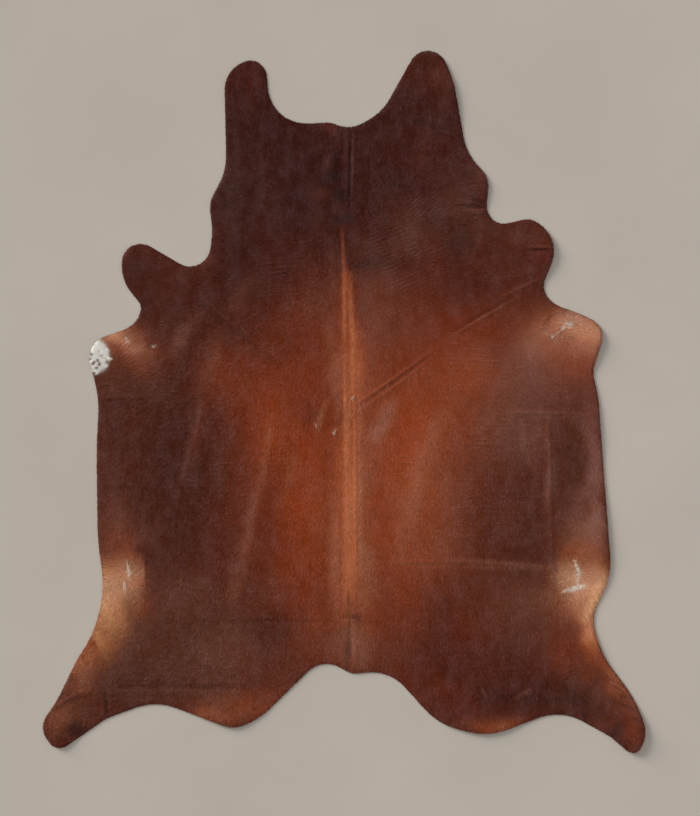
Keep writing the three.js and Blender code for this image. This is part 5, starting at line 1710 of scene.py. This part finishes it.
def map_locks(mesh):
    """Gives every lock a place of its own on the piece's map."""
    along, across = point_values(mesh, "along", 1), point_values(mesh, "across", 1)
    lock = np.arange(len(along)) // LOCK_POINTS
    count = lock[-1] + 1
    columns = max(1, int(math.sqrt(count / LOCK_ASPECT)))
    lines = math.ceil(count / columns)
    u = (lock % columns + LOCK_MARGIN_ALONG + (1 - 2 * LOCK_MARGIN_ALONG) * along) / columns
    v = (lock // columns + LOCK_MARGIN_ACROSS + (1 - 2 * LOCK_MARGIN_ACROSS) * across) / lines
    corner = np.empty(len(mesh.loops), np.int32)
    mesh.loops.foreach_get("vertex_index", corner)
    layer = mesh.uv_layers.new(name=UV_MAP)
    layer.uv.foreach_set("vector", np.stack([u, v], axis=1)[corner].astype(np.float32).ravel())


# The pieces


def sheet_mesh(settings):
    """One closed sheet: hair side, flesh side and cut edge."""
    shape = cad_shape()
    edge = cut_edge(shape, settings.edge_step)
    top, top_faces = filled(edge, settings.step, settings.fine_step)
    low, low_faces = filled(edge, settings.flesh_step)
    ring = len(edge)
    room = np.concatenate([np.zeros(ring), edge_distance(top[ring:], edge)])
    top_base = np.maximum(smoothed(lower_side(shape, top), top_faces, TOP_SMOOTHING), 0)
    low_base = np.maximum(smoothed(lower_side(shape, low), low_faces, LOW_SMOOTHING), 0)
    low_base[:ring] = top_base[:ring]
    shape.free()
    depth = settings.leather + settings.lower_coat * ease(room / EDGE_ROUND)
    fade = EDGE_RELIEF + (1 - EDGE_RELIEF) * ease(room / EDGE_ROUND)
    relief = crease_heights(*(top / MM).T) * MM * settings.relief * fade
    top_height = top_base + np.maximum(depth + relief, LEAST_DEPTH)

    count = len(top)
    points = np.vstack([np.column_stack([top, top_height]), np.column_stack([low, low_base])])
    here = np.arange(ring)
    after = np.roll(here, -1)
    wall = np.column_stack([here, here + count, after + count, after])
    faces = [*map(tuple, top_faces), *map(tuple, low_faces[:, ::-1] + count), *map(tuple, wall)]
    mesh = bpy.data.meshes.new("hide_sheet")
    mesh.from_pydata(points, [], faces)
    slots = np.repeat([0, 1, 2], [len(top_faces), len(low_faces), len(wall)]).astype(np.int32)
    mesh.polygons.foreach_set("material_index", slots)
    mesh.shade_smooth()

    x, y = (points[:, :2] / MM).T
    is_top = np.arange(len(points)) < count
    all_room = np.concatenate([room, np.zeros(len(low))])
    crowd = 1 + EDGE_CROWD * np.exp(-all_room / CROWD_REACH)
    add_point_values(mesh, "coat", "FLOAT_COLOR", with_alpha(coat_colors(x, y, all_room / MM)))
    add_point_values(mesh, "lie", "FLOAT_VECTOR", np.column_stack([hair_lie(x, y), np.zeros(len(x))]))
    phase, fold = wrinkle_waves(x, y)
    add_point_values(mesh, "ripple", "FLOAT_VECTOR", np.column_stack([phase, fold, np.zeros(len(x))]))
    away = np.hypot(x - SHORT_AT[0], y - SHORT_AT[1]) / SHORT_AT[2]
    add_point_values(mesh, "short", "FLOAT", 1 - SHORT_CUT * np.exp(-(away**4)))
    add_point_values(mesh, "room", "FLOAT", all_room)
    add_point_values(mesh, "crowd", "FLOAT", crowd)
    for name, first, last in REGIONS:
        add_point_values(mesh, name, "FLOAT", is_top & (y >= first) & (y < last))
    strands = strand_share(x, y)
    add_point_values(mesh, "whorl", "FLOAT", is_top * strands)
    add_point_values(mesh, "pale", "FLOAT", ease((strands - PALE_FROM) / PALE_SPAN))
    map_sheet(mesh, points, edge, count)
    return mesh


def map_sheet(mesh, points, edge, count):
    """Lays the hair side, its wall and the flesh side beside each other on the piece's map."""
    low, high = edge.min(0), edge.max(0)
    span = np.array([2 * (high[0] - low[0]) + 4 * MAP_GAP, high[1] - low[1] + 2 * MAP_GAP])
    corner = np.empty(len(mesh.loops), np.int32)
    mesh.loops.foreach_get("vertex_index", corner)
    start = np.empty(len(mesh.polygons), np.int32)
    mesh.polygons.foreach_get("loop_start", start)
    slot = np.empty(len(mesh.polygons), np.int32)
    mesh.polygons.foreach_get("material_index", slot)
    sides = np.diff(np.append(start, len(corner)))
    slot = np.repeat(slot, sides)
    flat = points[corner, :2] - low + MAP_GAP
    is_low = (slot == 2) & (corner >= count)
    flat[is_low] += outward(edge)[corner[is_low] - count] * WALL_ON_MAP
    is_flesh = slot == 1
    flat[is_flesh, 0] = span[0] - flat[is_flesh, 0]
    layer = mesh.uv_layers.new(name=UV_MAP)
    layer.uv.foreach_set("vector", (flat / span).astype(np.float32).ravel())


class HIDE_OT_sheet(bpy.types.Operator):
    """Lay the sheet of leather with its lower coat, creases and curled edges"""

    bl_idname = "cowhide.sheet"
    bl_label = "Lay the Sheet"

    def execute(self, context):
        settings = context.scene.cowhide.sheet
        sheet = add_object("hide_sheet", sheet_mesh(settings))
        for material in (lower_coat_material(), flesh_material(settings), cut_material(settings)):
            sheet.data.materials.append(material)
        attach(sheet, BODY)
        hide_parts(HIDE_NODE)
        return {"FINISHED"}


class HIDE_OT_coat(bpy.types.Operator):
    """Grow the lying coat over the sheet, region by region"""

    bl_idname = "cowhide.coat"
    bl_label = "Grow the Coat"

    def execute(self, context):
        settings = context.scene.cowhide.hair
        sheet = bpy.data.objects["hide_sheet"]
        values = {
            **COAT_VALUES,
            "Length": settings.length,
            "Width": settings.width,
            "Lift": settings.lift,
            "Scatter": settings.scatter,
            "Density": settings.locks / FLAT_AREA / CROWD_MEAN,
            "Material": hair_material("short_hair"),
        }
        for seed, (name, _, _) in enumerate(REGIONS):
            rename_roots(sheet.data, name)
            piece = grow_hair(name, sheet, {**values, "Seed": seed})
            rename_roots(sheet.data, name, back=True)
            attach(piece, BODY)
        return {"FINISHED"}


class HIDE_OT_whorls(bpy.types.Operator):
    """Add the pale longer strands at the whorls"""

    bl_idname = "cowhide.whorls"
    bl_label = "Add the Whorl Strands"

    def execute(self, context):
        settings = context.scene.cowhide.hair
        sheet = bpy.data.objects["hide_sheet"]
        values = {
            **STRAND_VALUES,
            "Length": settings.strand_length,
            "Lift": settings.lift * STRAND_LIFT,
            "Density": settings.strands / WHORL_AREA,
            "Material": hair_material("pale_whorl_hair", WHORL_PALE),
        }
        rename_roots(sheet.data, "whorl")
        piece = grow_hair("whorl_strands", sheet, values)
        rename_roots(sheet.data, "whorl", back=True)
        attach(piece, BODY)
        return {"FINISHED"}


def rename_roots(mesh, name, back=False):
    """Hands one region's share to the hair tree under the name that it reads."""
    old, new = (ROOTS_ATTRIBUTE, name) if back else (name, ROOTS_ATTRIBUTE)
    mesh.attributes[old].name = new


def state_sheet():
    """Clears the regions' shares and the whorls' share from the sheet."""
    sheet = bpy.data.objects["hide_sheet"]
    names = [name for name, _, _ in REGIONS]
    for name in (*names, "whorl"):
        sheet.data.attributes.remove(sheet.data.attributes[name])


def add_key_light(power):
    """One broad soft light, even over the whole hide."""
    lamp = bpy.data.lights.new("key_light", "SUN")
    lamp.energy = power
    lamp.angle = KEY_SPREAD
    lamp.color = KEY_COLOR
    made = add_object("key_light", lamp)
    made.location = KEY_PLACE
    made.rotation_euler = (-Vector(KEY_PLACE)).to_track_quat("-Z", "Y").to_euler()


class HIDE_OT_stage(bpy.types.Operator):
    """Set the plain floor, the soft lights and the camera straight above the hide"""

    bl_idname = "cowhide.stage"
    bl_label = "Set the Stage"

    def execute(self, context):
        settings = context.scene.cowhide.stage
        for name in ("Cube", "Light", "Camera"):
            if name in bpy.data.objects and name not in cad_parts:
                bpy.data.objects.remove(bpy.data.objects[name])
        half = FLOOR_SIZE / 2
        mesh = bpy.data.meshes.new("floor")
        corners = [(-half, -half), (half, -half), (half, half), (-half, half)]
        mesh.from_pydata([(x, y, FLOOR_LEVEL) for x, y in corners], [], [(0, 1, 2, 3)])
        mesh.materials.append(floor_material(settings))
        add_object("floor", mesh)

        add_key_light(settings.key_power)
        world = context.scene.world or bpy.data.worlds.new("studio")
        context.scene.world = world
        world.use_nodes = True
        background = world.node_tree.nodes["Background"]
        background.inputs["Color"].default_value = (1.0, 1.0, 1.0, 1.0)
        background.inputs["Strength"].default_value = settings.sky
        context.scene.view_settings.view_transform = "Standard"

        lens = bpy.data.cameras.new("camera")
        lens.sensor_width = SENSOR
        lens.lens = SENSOR * settings.camera_height / PICTURE_LENGTH
        camera = add_object("camera", lens)
        camera.location = (*PICTURE_MIDDLE, settings.camera_height)
        context.scene.camera = camera
        return {"FINISHED"}


class HIDE_PT_cowhide(bpy.types.Panel):
    """Lists the settings and the operators in the sidebar"""

    bl_label = "Cowhide Rug"
    bl_space_type = "VIEW_3D"
    bl_region_type = "UI"
    bl_category = "Cowhide"

    def draw(self, context):
        for name, operators in PANEL_ROWS:
            box = self.layout.box()
            settings = getattr(context.scene.cowhide, name)
            for key in type(settings).__annotations__:
                box.prop(settings, key)
            for operator in operators:
                box.operator(operator.bl_idname)


OPERATORS = (HIDE_OT_sheet, HIDE_OT_coat, HIDE_OT_whorls, HIDE_OT_stage)
PANEL_ROWS = (
    ("sheet", (HIDE_OT_sheet,)),
    ("hair", (HIDE_OT_coat, HIDE_OT_whorls)),
    ("stage", (HIDE_OT_stage,)),
)
CLASSES = (SheetSettings, HairSettings, StageSettings, CowhideSettings, *OPERATORS, HIDE_PT_cowhide)


def register():
    for made in CLASSES:
        bpy.utils.register_class(made)
    bpy.types.Scene.cowhide = PointerProperty(type=CowhideSettings)


def unregister():
    del bpy.types.Scene.cowhide
    for made in reversed(CLASSES):
        bpy.utils.unregister_class(made)


def main():
    register()
    bpy.ops.cowhide.sheet()
    bpy.ops.cowhide.coat()
    bpy.ops.cowhide.whorls()
    state_sheet()
    bpy.ops.cowhide.stage()


if __name__ == "__main__":
    main()
